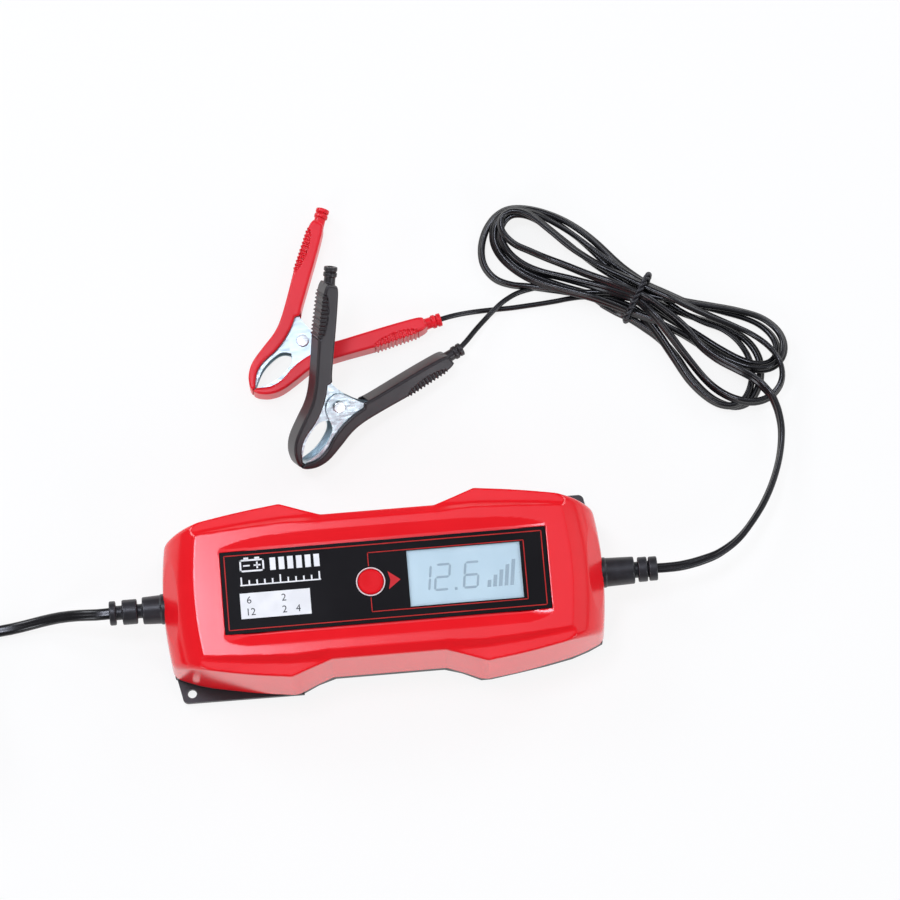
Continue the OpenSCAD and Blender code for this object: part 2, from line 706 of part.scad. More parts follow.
// ---- clamps ----
// A clamp lies with its pivot on the Z axis, from z = 0 to clamp_width. Its handles run to +X, the
// wire arm on the -Y side and the free arm on the +Y side.
sleeve_outer = [[-33.4, 0.2], [-32.4, 3], [-29, 6.9], [-23.4, 9.8], [-15, 11.2], [-7, 12.2], [0, 14.6],
    [10, 20], [22, 27], [34, 33.2], [46, 38]];
handle_inner = [[46, 31], [34, 24.2], [22, 17.6], [12, 12.1], [8, 9.4]];
grip_inner = [[5.6, 10.5], [1, 8.3], [-6, 6.3], [-13, 5.6], [-20, 6], [-26, 4.4], [-31.2, 0.2]];
jaw_back = [[-31, 1.4], [-27.6, 5.2], [-22, 7.4], [-14, 8.6], [-6, 9.4], [1, 12], [12, 18.2],
    [26, 25.6], [40, 32.4]];
cheek = [[40, 30.4], [26, 23], [13, 15.8], [8.6, 12], [7, 7.6], [6.2, 1], [4.6, -4.1], [0, -6.1],
    [-4.6, -4.4], [-7.4, -0.8], [-9.2, 2.2], [-12, 4], [-17, 4.6], [-22, 4.2], [-26, 2.9], [-30, 1]];

module sleeve_profile() {
    polygon(concat(curve(sleeve_outer, 3), curve(handle_inner, 3), curve(grip_inner, 3)));
}

rib_count = 12;
rib_pitch = 1.85;
boot_length = 8.6;
// Plastic sleeve of the +Y arm, hollow where the steel arm runs, with ribs on the outside of its grip.
module sleeve() {
    difference() {
        union() {
            linear_extrude(clamp_width) sleeve_profile();
            for (i = [0:rib_count - 1]) translate([22 + i * rib_pitch, 27 + i * rib_pitch / 2, 1])
                rotate([0, 0, 26]) translate([-0.45, -1.4, 0]) cube([0.9, 2, clamp_width - 2]);
        }
        // room for the steel: open along the jaw, walled in along the handle
        translate([0, 0, 1.2]) linear_extrude(clamp_width - 2.4)
            polygon(concat([[-31.4, 1.2]], [for (p = curve(jaw_back, 3)) p + [-0.1, 0.15]],
                [[41, 32.9], [41, 29.9], [26, 21.4], [13, 14.3], [9.4, 12.1], [9.4, 0], [-14, -4],
                    [-36, -6]]));
    }
    // boot at the handle's end
    translate([45.4, 34.4, clamp_width / 2]) rotate([0, 90, 28]) difference() {
        union() {
            translate([0, 0, -1]) cylinder(d1 = 6.6, d2 = 5.4, h = boot_length + 1);
            translate([0, 0, 1.8]) cylinder(d = 7.2, h = 1.4);
            translate([0, 0, boot_length - 3.2]) cylinder(d = 7.6, h = 2.6);
        }
        translate([0, 0, -2]) cylinder(d = wire_diameter + 0.1, h = boot_length + 3);
    }
}

jaw_gap = 0.15;
// Pressed steel arm: a back strip under the sleeve and two cheeks that reach to the pivot.
// Cheeks lie inset from the sleeve's sides by the given amount.
module jaw(inset) {
    difference() {
        union() {
            translate([0, 0, inset]) linear_extrude(clamp_width - 2 * inset) difference() {
                polygon(concat(curve(jaw_back, 3),
                    [for (p = curve([for (i = [len(jaw_back) - 1:-1:0]) jaw_back[i]], 3))
                        p + [0.25, -sheet]]));
                translate([0, 0]) circle(r = 4);
            }
            for (z = [inset, clamp_width - inset - sheet]) translate([0, 0, z]) linear_extrude(sheet)
                polygon(concat([for (p = curve(jaw_back, 3)) p + [0.1, -0.3]], curve(cheek, 3)));
        }
        translate([0, 0, -1]) cylinder(d = rivet_diameter + 0.1, h = clamp_width + 2);
    }
}

module rivet() {
    translate([0, 0, 0.3]) {
        cylinder(d = rivet_diameter, h = clamp_width - 0.6);
        cylinder(d1 = 4.8, d2 = 5.6, h = 0.9);
        translate([0, 0, clamp_width - 1.5]) cylinder(d1 = 5.6, d2 = 4.8, h = 0.9);
    }
}

spring_wire = 1.1;
spring_turns = 3;
module spring() {
    radius = 3.4;
    steps = 8;
    rise = (clamp_width - 7.9) / spring_turns;
    helix = [for (i = [0:spring_turns * steps]) let (a = 60 + i * 360 / steps)
        [radius * cos(a), radius * sin(a), 3.95 + i * rise / steps]];
    tube(helix, spring_wire, spring_wire, 6);
}

outer_inset = 1.3;
inner_inset = outer_inset + sheet + jaw_gap;

// Places of the two clamps: the red one lies flat, the black one leans across it.
red_pivot = [-27.8, 123.8];
red_turn = 41.3;
module place_red() {
    translate([red_pivot[0], red_pivot[1], 0]) rotate([0, 0, red_turn]) children();
}
lean = 32;
lean_from = [-26.2, -8.7];
lean_line = -23.3;
black_foot = [-25.6, 69.6];
black_turn = 32.2;
module place_black() {
    translate([black_foot[0], black_foot[1], 0]) rotate([0, 0, black_turn]) rotate([lean, 0, 0])
        rotate([0, 0, -lean_line]) translate([-lean_from[0], -lean_from[1], 0]) children();
}
module mirrored() {
    mirror([0, 1, 0]) children();
}

module red_wire_jaw() { color(zinc) place_red() mirrored() jaw(outer_inset); }
module red_wire_sleeve() { color("#d4141c") place_red() mirrored() sleeve(); }
module red_free_jaw() { color(zinc) place_red() jaw(inner_inset); }
module red_free_sleeve() { color("#d4141c") place_red() sleeve(); }
module red_rivet() { color(zinc) place_red() rivet(); }
module red_spring() { color(zinc) place_red() spring(); }
module black_wire_jaw() { color(zinc) place_black() mirrored() jaw(outer_inset); }
module black_wire_sleeve() { color("#232326") place_black() mirrored() sleeve(); }
module black_free_jaw() { color(zinc) place_black() jaw(inner_inset); }
module black_free_sleeve() { color("#232326") place_black() sleeve(); }
module black_rivet() { color(zinc) place_black() rivet(); }
module black_spring() { color(zinc) place_black() spring(); }

upper_shell();
lower_shell();
feet();
housing_screws();
display_panel();
display_window();
display_glass();
display_holder();
display_board();
mode_button();
button_bezel();
button_switch();
display_screws();
main_board();
board_screws();
transformer_core();
transformer_winding();
mains_capacitor();
output_capacitors();
mains_choke();
fuse();
heatsink();
power_transistors();
mains_gland();
output_gland();
mains_tails();
output_tails();
mains_lead();
mains_coil();
mains_tail();
coil_tie();
plug_body();
plug_pins();
output_lead();
output_hank();
hank_tie();
red_wire();
black_wire();
red_wire_jaw();
red_wire_sleeve();
red_free_jaw();
red_free_sleeve();
red_rivet();
red_spring();
black_wire_jaw();
black_wire_sleeve();
black_free_jaw();
black_free_sleeve();
black_rivet();
black_spring();
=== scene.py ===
import math

import bpy
import numpy as np
from mathutils import Matrix, Vector


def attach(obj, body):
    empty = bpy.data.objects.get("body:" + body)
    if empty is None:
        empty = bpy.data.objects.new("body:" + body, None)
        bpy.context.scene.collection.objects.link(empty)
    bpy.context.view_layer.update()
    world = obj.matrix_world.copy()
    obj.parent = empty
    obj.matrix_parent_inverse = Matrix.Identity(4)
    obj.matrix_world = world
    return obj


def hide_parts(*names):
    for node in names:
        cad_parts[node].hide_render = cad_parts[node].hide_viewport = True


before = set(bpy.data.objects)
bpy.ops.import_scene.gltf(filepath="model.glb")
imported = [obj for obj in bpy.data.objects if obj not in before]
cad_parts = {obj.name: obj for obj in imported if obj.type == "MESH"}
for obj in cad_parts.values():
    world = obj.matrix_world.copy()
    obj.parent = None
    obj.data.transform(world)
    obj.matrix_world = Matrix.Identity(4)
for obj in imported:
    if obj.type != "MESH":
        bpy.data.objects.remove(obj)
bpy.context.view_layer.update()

MM = 0.001

# Sizes in millimetres that several pieces share.
EXIT = 22               # height of both leads' middle
TOP = 46                # plateau of the housing
PANEL_X, WINDOW_X, BUTTON_X = 1.2, 37.4, -5.6
GLAND_SEAT, GLAND_LENGTH, GLAND_END = 100.3, 25.6, 125.9
MAINS_SECTION, OUTPUT_SECTION, WIRE = (5.4, 3.6), (4.6, 2.6), 2.5
CLAMP_MIDDLE = 6        # half the thickness of a clamp

# ---- camera
aim = Vector((36.354, 68.512, 0)) * MM
swing, rise = math.radians(-4.85), math.radians(77)
CAMERA_DISTANCE, LENS = 2.4, 206.19
back = Vector((math.sin(swing) * math.cos(rise), -math.cos(swing) * math.cos(rise), math.sin(rise)))
right = Vector((math.cos(swing), math.sin(swing), 0))
camera = bpy.data.objects.new("camera", bpy.data.cameras.new("camera"))
bpy.context.scene.collection.objects.link(camera)
camera.matrix_world = (Matrix.Translation(aim + back * CAMERA_DISTANCE)
                       @ Matrix((right, back.cross(right), back)).transposed().to_4x4())
camera.data.lens = LENS
camera.data.sensor_width = 36
camera.data.clip_end = 20
bpy.context.scene.camera = camera
bpy.context.scene.view_settings.view_transform = "Standard"


# ---- finishes
def linear(code):
    """sRGB hex to the linear colour a socket takes."""
    parts = [int(code[i:i + 2], 16) / 255 for i in (1, 3, 5)]
    return [c / 12.92 if c <= 0.04045 else ((c + 0.055) / 1.055) ** 2.4 for c in parts] + [1]


def per_mm(size):
    """Texture scale that gives a pattern of this size in millimetres."""
    return 1 / (size * MM)


def add(tree, kind, inputs=(), **settings):
    """One node, with its settings and its sockets set or linked."""
    node = tree.nodes.new(kind)
    for name, value in settings.items():
        setattr(node, name, value)
    for name, value in dict(inputs).items():
        if isinstance(value, bpy.types.NodeSocket):
            tree.links.new(value, node.inputs[name])
        else:
            node.inputs[name].default_value = value
    return node


def blank_finish(name):
    """A new material, with its node tree, its shader and the object's own coordinates."""
    material = bpy.data.materials.new(name)
    material.use_nodes = True
    tree = material.node_tree
    shader = tree.nodes["Principled BSDF"]
    place = add(tree, "ShaderNodeTexCoord").outputs["Object"]
    return material, tree, shader, place


def two_tones(tree, place, dark, light, size):
    """Colour that drifts between two tones over patches of this size."""
    noise = add(tree, "ShaderNodeTexNoise", {"Vector": place, "Scale": per_mm(size), "Detail": 3})
    ramp = add(tree, "ShaderNodeValToRGB", {"Fac": noise.outputs["Fac"]})
    ramp.color_ramp.elements[0].position, ramp.color_ramp.elements[1].position = 0.35, 0.65
    ramp.color_ramp.elements[0].color, ramp.color_ramp.elements[1].color = linear(dark), linear(light)
    return ramp.outputs["Color"]


def wandering(tree, place, low, high, size):
    """A value that drifts between low and high over patches of this size."""
    noise = add(tree, "ShaderNodeTexNoise", {"Vector": place, "Scale": per_mm(size), "Detail": 2.0})
    return add(tree, "ShaderNodeMapRange", {"Value": noise.outputs["Fac"], "From Min": 0.3, "From Max": 0.7,
                                            "To Min": low, "To Max": high}).outputs["Result"]


def moulded(name, dark, light, roughness, grain, depth, patch=30, ior=1.53, specular=0.5):
    """Injection-moulded or extruded plastic: two close tones, a tool grain of this size in millimetres
    and this depth, and a gloss that wanders a little with the flow of the melt."""
    material, tree, shader, place = blank_finish(name)
    tree.links.new(two_tones(tree, place, dark, light, patch), shader.inputs["Base Color"])
    tree.links.new(wandering(tree, place, roughness * 0.94, roughness * 1.08, patch * 0.6),
                   shader.inputs["Roughness"])
    noise = add(tree, "ShaderNodeTexNoise", {"Vector": place, "Scale": per_mm(grain), "Detail": 2.0})
    bump = add(tree, "ShaderNodeBump",
               {"Height": noise.outputs["Fac"], "Distance": depth * MM, "Strength": 0.6})
    tree.links.new(bump.outputs["Normal"], shader.inputs["Normal"])
    shader.inputs["IOR"].default_value = ior
    shader.inputs["Specular IOR Level"].default_value = specular
    return material


def metal(name, dark, light, roughness, streak=0.25, spangle=3.0):
    """Sheet or turned metal: drawing streaks of this width in millimetres over faint plating patches."""
    material, tree, shader, place = blank_finish(name)
    tree.links.new(two_tones(tree, place, dark, light, spangle), shader.inputs["Base Color"])
    stretch = add(tree, "ShaderNodeMapping",
                  {"Vector": place, "Scale": (0.12, 1, 1), "Rotation": (0, 0, 0.6)})
    tree.links.new(wandering(tree, stretch.outputs["Vector"], roughness * 0.7, roughness * 1.35, streak * 4),
                   shader.inputs["Roughness"])
    lines = add(tree, "ShaderNodeTexNoise", {"Vector": stretch.outputs["Vector"], "Scale": per_mm(streak),
                                             "Detail": 2.0})
    bump = add(tree, "ShaderNodeBump",
               {"Height": lines.outputs["Fac"], "Distance": 0.0025 * MM, "Strength": 0.5})
    tree.links.new(bump.outputs["Normal"], shader.inputs["Normal"])
    shader.inputs["Metallic"].default_value = 1.0
    return material


# Polished-tool ABS: deep gloss with a barely visible orange peel of about 2 mm.
red_abs = moulded("gloss_red_abs", "#f6131f", "#fb1823", 0.18, 2.0, 0.008)
# Spark-eroded ABS: matt, with a fine even grain, drawn at 0.5 mm so that it shows.
black_abs = moulded("spark_eroded_black_abs", "#29272a", "#323034", 0.5, 0.5, 0.03)
# Soft PVC of the glands: duller than the shell, with a skin a little uneven.
gland_pvc = moulded("soft_pvc_black", "#1d1c20", "#2a292e", 0.38, 0.9, 0.03, patch=6)
# Extruded PVC jacket: satin, drawn along its length, dark with a clear shine on its ridges.
cord_pvc = moulded("extruded_pvc_cord", "#111012", "#19181b", 0.25, 1.4, 0.012, patch=14)
# Dipped vinyl grips: glossy red and charcoal, the skin slightly pebbled.
red_vinyl = moulded("dipped_red_vinyl", "#e81c29", "#ee202d", 0.3, 1.1, 0.02, specular=0.35)
black_vinyl = moulded("dipped_charcoal_vinyl", "#262123", "#2d282a", 0.36, 1.1, 0.02)
# Bright zinc on pressed steel: bluish, with the press's drawing streaks.
zinc = metal("bright_zinc_steel", "#c3d3d9", "#d0dde2", 0.42, spangle=5.0)
# Nickel on turned steel: a shade warmer and smoother than the zinc.
nickel = metal("nickel_plated_steel", "#cdd0d2", "#dcdfe0", 0.3, streak=0.15)
# Moulded rubber: matt and grainy.
rubber = moulded("black_rubber", "#232325", "#2e2e30", 0.7, 0.6, 0.04, ior=1.52)
# Reverse-printed polyester film: an even black under a thin gloss.
film = moulded("printed_polyester_film", "#100e10", "#161416", 0.42, 0.5, 0.004, patch=40, ior=1.58,
               specular=0.06)
# Screen inks: flat and even, the arrow a brighter red than the lines.
red_ink = moulded("red_screen_ink", "#b8221f", "#cc2b25", 0.45, 0.5, 0.004, patch=8, specular=0.15)
arrow_ink = moulded("bright_red_screen_ink", "#cc242a", "#d62d32", 0.45, 0.5, 0.004, patch=8, specular=0.15)
white_ink = moulded("white_screen_ink", "#ecebea", "#f6f5f4", 0.4, 0.5, 0.004, patch=8)
black_ink = moulded("black_screen_ink", "#1b1a1c", "#262527", 0.4, 0.5, 0.004, patch=8)
# Polariser over the liquid-crystal cell: pale blue-grey, dull, a little darker in drifts.
polariser = moulded("lcd_polariser", "#c2dce6", "#cbe4ed", 0.42, 0.6, 0.004, patch=22, ior=1.5)
# Segments that are on: the same dull face, a few tones darker.
segment_ink = moulded("lcd_segment_on", "#93abb8", "#9db4c0", 0.42, 0.6, 0.004, patch=10, ior=1.5)
# Satin ABS: an even red, with no mirror of the lamps.
button_abs = moulded("satin_red_button_abs", "#e4101a", "#ea1721", 0.42, 0.8, 0.012, patch=8, specular=0.1)
# Moulded pale ABS: a thin off-white ring with a soft shine; its pink tint is painted reflection of the red
# shell beside it.
pale_abs = moulded("pale_ring_abs", "#f0d9d8", "#f7e6e4", 0.34, 0.8, 0.01, patch=6)

# Inside: ABS satin and epoxy dull, boards half glossy under their lacquer, ferrite dull and grainy, tape,
# sleeves and wires smooth, ceramic glazed, copper and aluminium streaked. By node, with the other solids
# that show as they are.
white_abs = moulded("white_abs", "#dedcd6", "#e9e8e3", 0.45, 0.5, 0.02)
epoxy = moulded("moulded_epoxy_black", "#1c1c1e", "#272729", 0.55, 0.3, 0.02, patch=3)
node_finish = {
    "display_holder": white_abs, "button_switch": epoxy, "power_transistors": epoxy,
    "display_board": moulded("glass_epoxy_green", "#19572f", "#226b3b", 0.36, 0.4, 0.01, patch=5, ior=1.55),
    "main_board": moulded("phenolic_board_brown", "#7d5a2c", "#8f6a38", 0.42, 0.4, 0.01, patch=5, ior=1.6),
    "transformer_core": moulded("sintered_ferrite", "#2c2b2d", "#3a393b", 0.62, 0.25, 0.03, patch=2, ior=2.0),
    "transformer_winding": moulded("polyester_winding_tape", "#cfa92c", "#dcb93e", 0.3, 2.2, 0.03, patch=6),
    "mains_capacitor": moulded("shrunk_pvc_sleeve_blue", "#23305e", "#2c3b6f", 0.3, 1.0, 0.01, patch=6),
    "output_capacitors": moulded("shrunk_pvc_sleeve_black", "#202024", "#2b2b30", 0.3, 1.0, 0.01, patch=6),
    "mains_choke": metal("enamelled_copper_wire", "#a4562a", "#c97a44", 0.3, streak=0.6),
    "fuse": moulded("glazed_fuse_ceramic", "#d8d2c4", "#e6e1d5", 0.2, 1.0, 0.01, patch=4, ior=1.6),
    "heatsink": metal("extruded_aluminium", "#b7babd", "#d2d4d6", 0.38, streak=0.4),
    "mains_tails": moulded("pvc_wire_brown", "#5d3f27", "#6f4d31", 0.35, 0.6, 0.01, patch=4),
    "output_tails": moulded("pvc_wire_red", "#8c1d1d", "#a02626", 0.35, 0.6, 0.01, patch=4),
    "housing_screws": zinc, "display_screws": zinc, "board_screws": zinc,
    "lower_shell": black_abs, "feet": rubber, "plug_pins": nickel,
}
node_finish.update({colour + "_" + part: zinc
                    for colour in ("red", "black") for part in ("wire_jaw", "free_jaw")})


def dress(node, material):
    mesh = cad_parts[node].data
    mesh.materials.clear()
    mesh.materials.append(material)


for node, material in node_finish.items():
    dress(node, material)

# Clear polycarbonate: only its faint gloss shows, so it is mostly see-through.
window_pc, tree, shader, place = blank_finish("clear_polycarbonate")
tree.links.new(two_tones(tree, place, "#dfe9ee", "#e9f1f4", 20), shader.inputs["Base Color"])
shader.inputs["Alpha"].default_value = 0.08
shader.inputs["Roughness"].default_value = 0.06
shader.inputs["IOR"].default_value = 1.58
dress("display_window", window_pc)
dress("display_glass", polariser)


# ---- mesh making
def piece(name, points, faces, material, body="charger", normals=None, crease=None):
    """A mesh piece from points in millimetres that rides on a body."""
    mesh = bpy.data.meshes.new(name)
    mesh.from_pydata((np.asarray(points, float) * MM).tolist(), [], [tuple(map(int, f)) for f in faces])
    mesh.polygons.foreach_set("use_smooth", [True] * len(mesh.polygons))
    if normals is not None:
        mesh.normals_split_custom_set_from_vertices(normals.tolist())
    if crease is not None:
        mesh.set_sharp_from_angle(angle=math.radians(crease))
    mesh.materials.append(material)
    thing = bpy.data.objects.new(name, mesh)
    bpy.context.scene.collection.objects.link(thing)
    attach(thing, body)
    return thing


def smooth_curve(points, parts):
    """Catmull-Rom curve through the points, with this many parts between neighbours."""
    p = np.asarray(points, float)
    last = len(p) - 1
    out = []
    for i in range(last):
        a, b, c, d = p[max(i - 1, 0)], p[i], p[i + 1], p[min(i + 2, last)]
        for s in np.arange(parts) / parts:
            out.append(0.5 * (2 * b + (c - a) * s + (2 * a - 5 * b + 4 * c - d) * s * s
                              + (3 * b - a - 3 * c + d) * s ** 3))
    return np.array(out + [p[last]])


def sweep(path, outline, turns=None, up=(0, 0, 1)):
    """Points and faces of a tube: the outline's (across, up) points carried along the path, and turned
    about it by the given angles."""
    path = np.asarray(path, float)
    along = np.gradient(path, axis=0)
    along /= np.linalg.norm(along, axis=1)[:, None]
    side = np.cross(along, up)
    side /= np.linalg.norm(side, axis=1)[:, None]
    lift = np.cross(side, along)
    turns = np.zeros(len(path)) if turns is None else np.radians(turns)
    c, s = np.cos(turns)[:, None], np.sin(turns)[:, None]
    side, lift = side * c + lift * s, lift * c - side * s
    outline = np.asarray(outline, float)
    n = len(outline)
    points = (path[:, None] + side[:, None] * outline[None, :, :1] + lift[:, None] * outline[None, :, 1:])
    faces = [(r * n + i, r * n + (i + 1) % n, (r + 1) * n + (i + 1) % n, (r + 1) * n + i)
             for r in range(len(path) - 1) for i in range(n)]
    faces += [tuple(range(n))[::-1], tuple((len(path) - 1) * n + i for i in range(n))]
    return points.reshape(-1, 3), faces


def round_outline(diameter, sides=10):
    angles = np.arange(sides) * 2 * np.pi / sides
    return np.c_[np.cos(angles), np.sin(angles)] * diameter / 2


def twin_outline(width, thickness):
    """Section of flat two-core cable: two round cores side by side, with the valley between them."""
    r = thickness / 2
    c = width / 2 - r
    reach = math.acos(-c / r) - 0.08
    arc = np.linspace(-reach, reach, 9)
    core = np.c_[c + r * np.cos(arc), r * np.sin(arc)]
    return np.r_[core, -core]


def smooth_max(a, b, radius):
    """The larger of two distances, with the edge between them rounded."""
    h = np.clip(0.5 + 0.5 * (a - b) / radius, 0, 1)
    return b + (a - b) * h + radius * h * (1 - h)


def smooth_min(a, b, radius):
    return -smooth_max(-a, -b, radius)


def skin(form, low, high, step):
    """Points, faces and normals of the surface where form(points) is zero, inside a box in millimetres.
    form is about the distance outside the solid, so rounded edges come from smooth_max."""
    low = np.asarray(low, float)
    axes = [np.arange(low[i], high[i] + step, step) for i in range(3)]
    value = form(np.stack(np.meshgrid(*axes, indexing="ij"), -1))
    cells = tuple(n - 1 for n in value.shape)
    total, count = np.zeros(cells + (3,)), np.zeros(cells)
    edges = []
    for a in range(3):
        b, c = (a + 1) % 3, (a + 2) % 3
        first = tuple(slice(0, -1) if i == a else slice(None) for i in range(3))
        second = tuple(slice(1, None) if i == a else slice(None) for i in range(3))
        v0, v1 = value[first], value[second]
        at = np.argwhere((v0 < 0) != (v1 < 0))
        v0, v1 = v0[tuple(at.T)], v1[tuple(at.T)]
        point = low + step * at
        point[:, a] += step * v0 / (v0 - v1)
        ring = []
        for db, dc in ((1, 1), (0, 1), (0, 0), (1, 0)):
            cell = at.copy()
            cell[:, b] -= db
            cell[:, c] -= dc
            np.add.at(total, tuple(cell.T), point)
            np.add.at(count, tuple(cell.T), 1)
            ring.append(cell)
        edges.append((ring, v0 < 0))
    used = np.argwhere(count > 0)
    number = -np.ones(cells, int)
    number[tuple(used.T)] = np.arange(len(used))
    points = total[tuple(used.T)] / count[tuple(used.T)][:, None]
    faces = []
    for ring, outward in edges:
        quad = np.stack([number[tuple(cell.T)] for cell in ring], 1)
        quad[~outward] = quad[~outward][:, ::-1]
        faces.append(quad)
    # drawn onto the surface, each point within reach of its own cell
    start = points.copy()
    for _ in range(4):
        slope = slope_of(form, points)
        points -= form(points)[:, None] * slope / np.maximum((slope ** 2).sum(1), 0.1)[:, None]
        points = start + np.clip(points - start, -0.7 * step, 0.7 * step)
    slope = slope_of(form, points)
    return points, np.concatenate(faces), slope / np.maximum(np.linalg.norm(slope, axis=1), 1e-6)[:, None]


def slope_of(form, points):
    h = 0.04
    return np.stack([(form(points + h * e) - form(points - h * e)) / (2 * h) for e in np.eye(3)], 1)


def box_form(p, middle, half):
    """Distance outside a box."""
    q = np.abs(p - np.asarray(middle, float)) - np.asarray(half, float)
    return np.linalg.norm(np.maximum(q, 0), axis=-1) + np.minimum(q.max(-1), 0)


def outline_form(p, outline):
    """Distance outside a closed plane outline, for points' first two coordinates."""
    best = np.full(p.shape[:-1], 1e9)
    inside = np.zeros(p.shape[:-1], bool)
    for a, b in zip(outline, np.roll(outline, -1, axis=0)):
        edge = b - a
        wx, wy = p[..., 0] - a[0], p[..., 1] - a[1]
        t = np.clip((wx * edge[0] + wy * edge[1]) / max(edge @ edge, 1e-9), 0, 1)
        best = np.minimum(best, (wx - edge[0] * t) ** 2 + (wy - edge[1] * t) ** 2)
        if a[1] != b[1]:
            crossed = ((p[..., 1] < a[1]) != (p[..., 1] < b[1])) & (wx < edge[0] * wy / edge[1])
            inside ^= crossed
    return np.where(inside, -1, 1) * np.sqrt(best)


def lathe(profile, turn, sides=64):
    """Points and faces of a turned solid: (radius, height) points about Z, then placed by a matrix."""
    angles = np.arange(sides) * 2 * np.pi / sides
    points = [[r * np.cos(a), r * np.sin(a), z] for r, z in profile for a in angles]
    faces = [(k * sides + i, k * sides + (i + 1) % sides,
              (k + 1) * sides + (i + 1) % sides, (k + 1) * sides + i)
             for k in range(len(profile) - 1) for i in range(sides)]
    faces += [tuple(range(sides))[::-1], tuple((len(profile) - 1) * sides + i for i in range(sides))]
    return [list(turn @ Vector(p)) for p in points], faces


def plates(outlines, low, high):
    """Points and faces of flat plates with these plane outlines, from low to high."""
    points, faces = [], []
    for outline in outlines:
        n, base = len(outline), len(points)
        points += [[x, y, low] for x, y in outline] + [[x, y, high] for x, y in outline]
        faces += [tuple(base + i for i in range(n))[::-1], tuple(base + n + i for i in range(n))]
        faces += [(base + i, base + (i + 1) % n, base + n + (i + 1) % n, base + n + i) for i in range(n)]
    return points, faces


# ---- cords
mains_route = [(-GLAND_END, 0, EXIT), (-132, 0, 21.6), (-140, 1, 18.5), (-149, 2, 12.6), (-158, 2, 7),
               (-168, 1, 3.4), (-178, 0, 2.4), (-196, -1, 2.8), (-214, -1.7, 3.3)]
coil_middle, coil_outer, coil_pitch, coil_layer = (-228, -36.6), 35, 5.8, 5.6
coil_turns, layer_turns, coil_floor = 9.25, 2.25, 3.4


def coil_point(t):
    """Point of the storage coil after t turns: four flat layers, wound in and out by turns."""
    u = t / layer_turns
    k = math.floor(u + 1e-9)
    inward = 4 - u if u > 4 else (u - k if k % 2 == 0 else 1 - (u - k))
    near = round(u)
    past = (t - near * layer_turns) * 2
    layer = near - 0.5 + past if 1 <= near <= 3 and abs(past) < 0.5 else math.floor(u + 0.01)
    r, a = coil_outer - inward * layer_turns * coil_pitch, math.radians(90 + 360 * t)
    return (coil_middle[0] + r * math.cos(a), coil_middle[1] + r * math.sin(a),
            coil_floor + min(layer, 3) * coil_layer)


coil = [coil_point(i / 24) for i in range(int(coil_turns * 24) + 1)]
leaving = np.array(coil[-1]) - coil[-2]
coil_end = np.array(coil[-1]) + leaving / np.linalg.norm(leaving) * MAINS_SECTION[0]
tail = [coil_end + d for d in ([0, 0, 0], [-0.8, -10, -0.8], [-1.4, -21, -5.4], [-1.2, -33, -11.4],
                               [0, -45, -13.4])]
plug_base = tail[-1]
mains_points = [np.array(p, float) for p in mains_route] + [np.array(p) for p in coil] + tail
mains_path = smooth_curve(mains_points, 2)
# flat at the gland, on edge in the coil, flat again at the plug
share = np.linspace(0, 1, len(mains_path))
mains_turn = 90 * np.clip((share - 0.03) / 0.05, 0, 1) * np.clip((0.985 - share) / 0.02, 0, 1)


points, faces = sweep(mains_path, twin_outline(*MAINS_SECTION), mains_turn)
mains_cord = piece("mains_cord", points, faces, cord_pvc, crease=60)
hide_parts("mains_lead", "mains_coil", "mains_tail")

hank_middle, hank_angle = np.array([129.5, 132]), math.radians(-32)
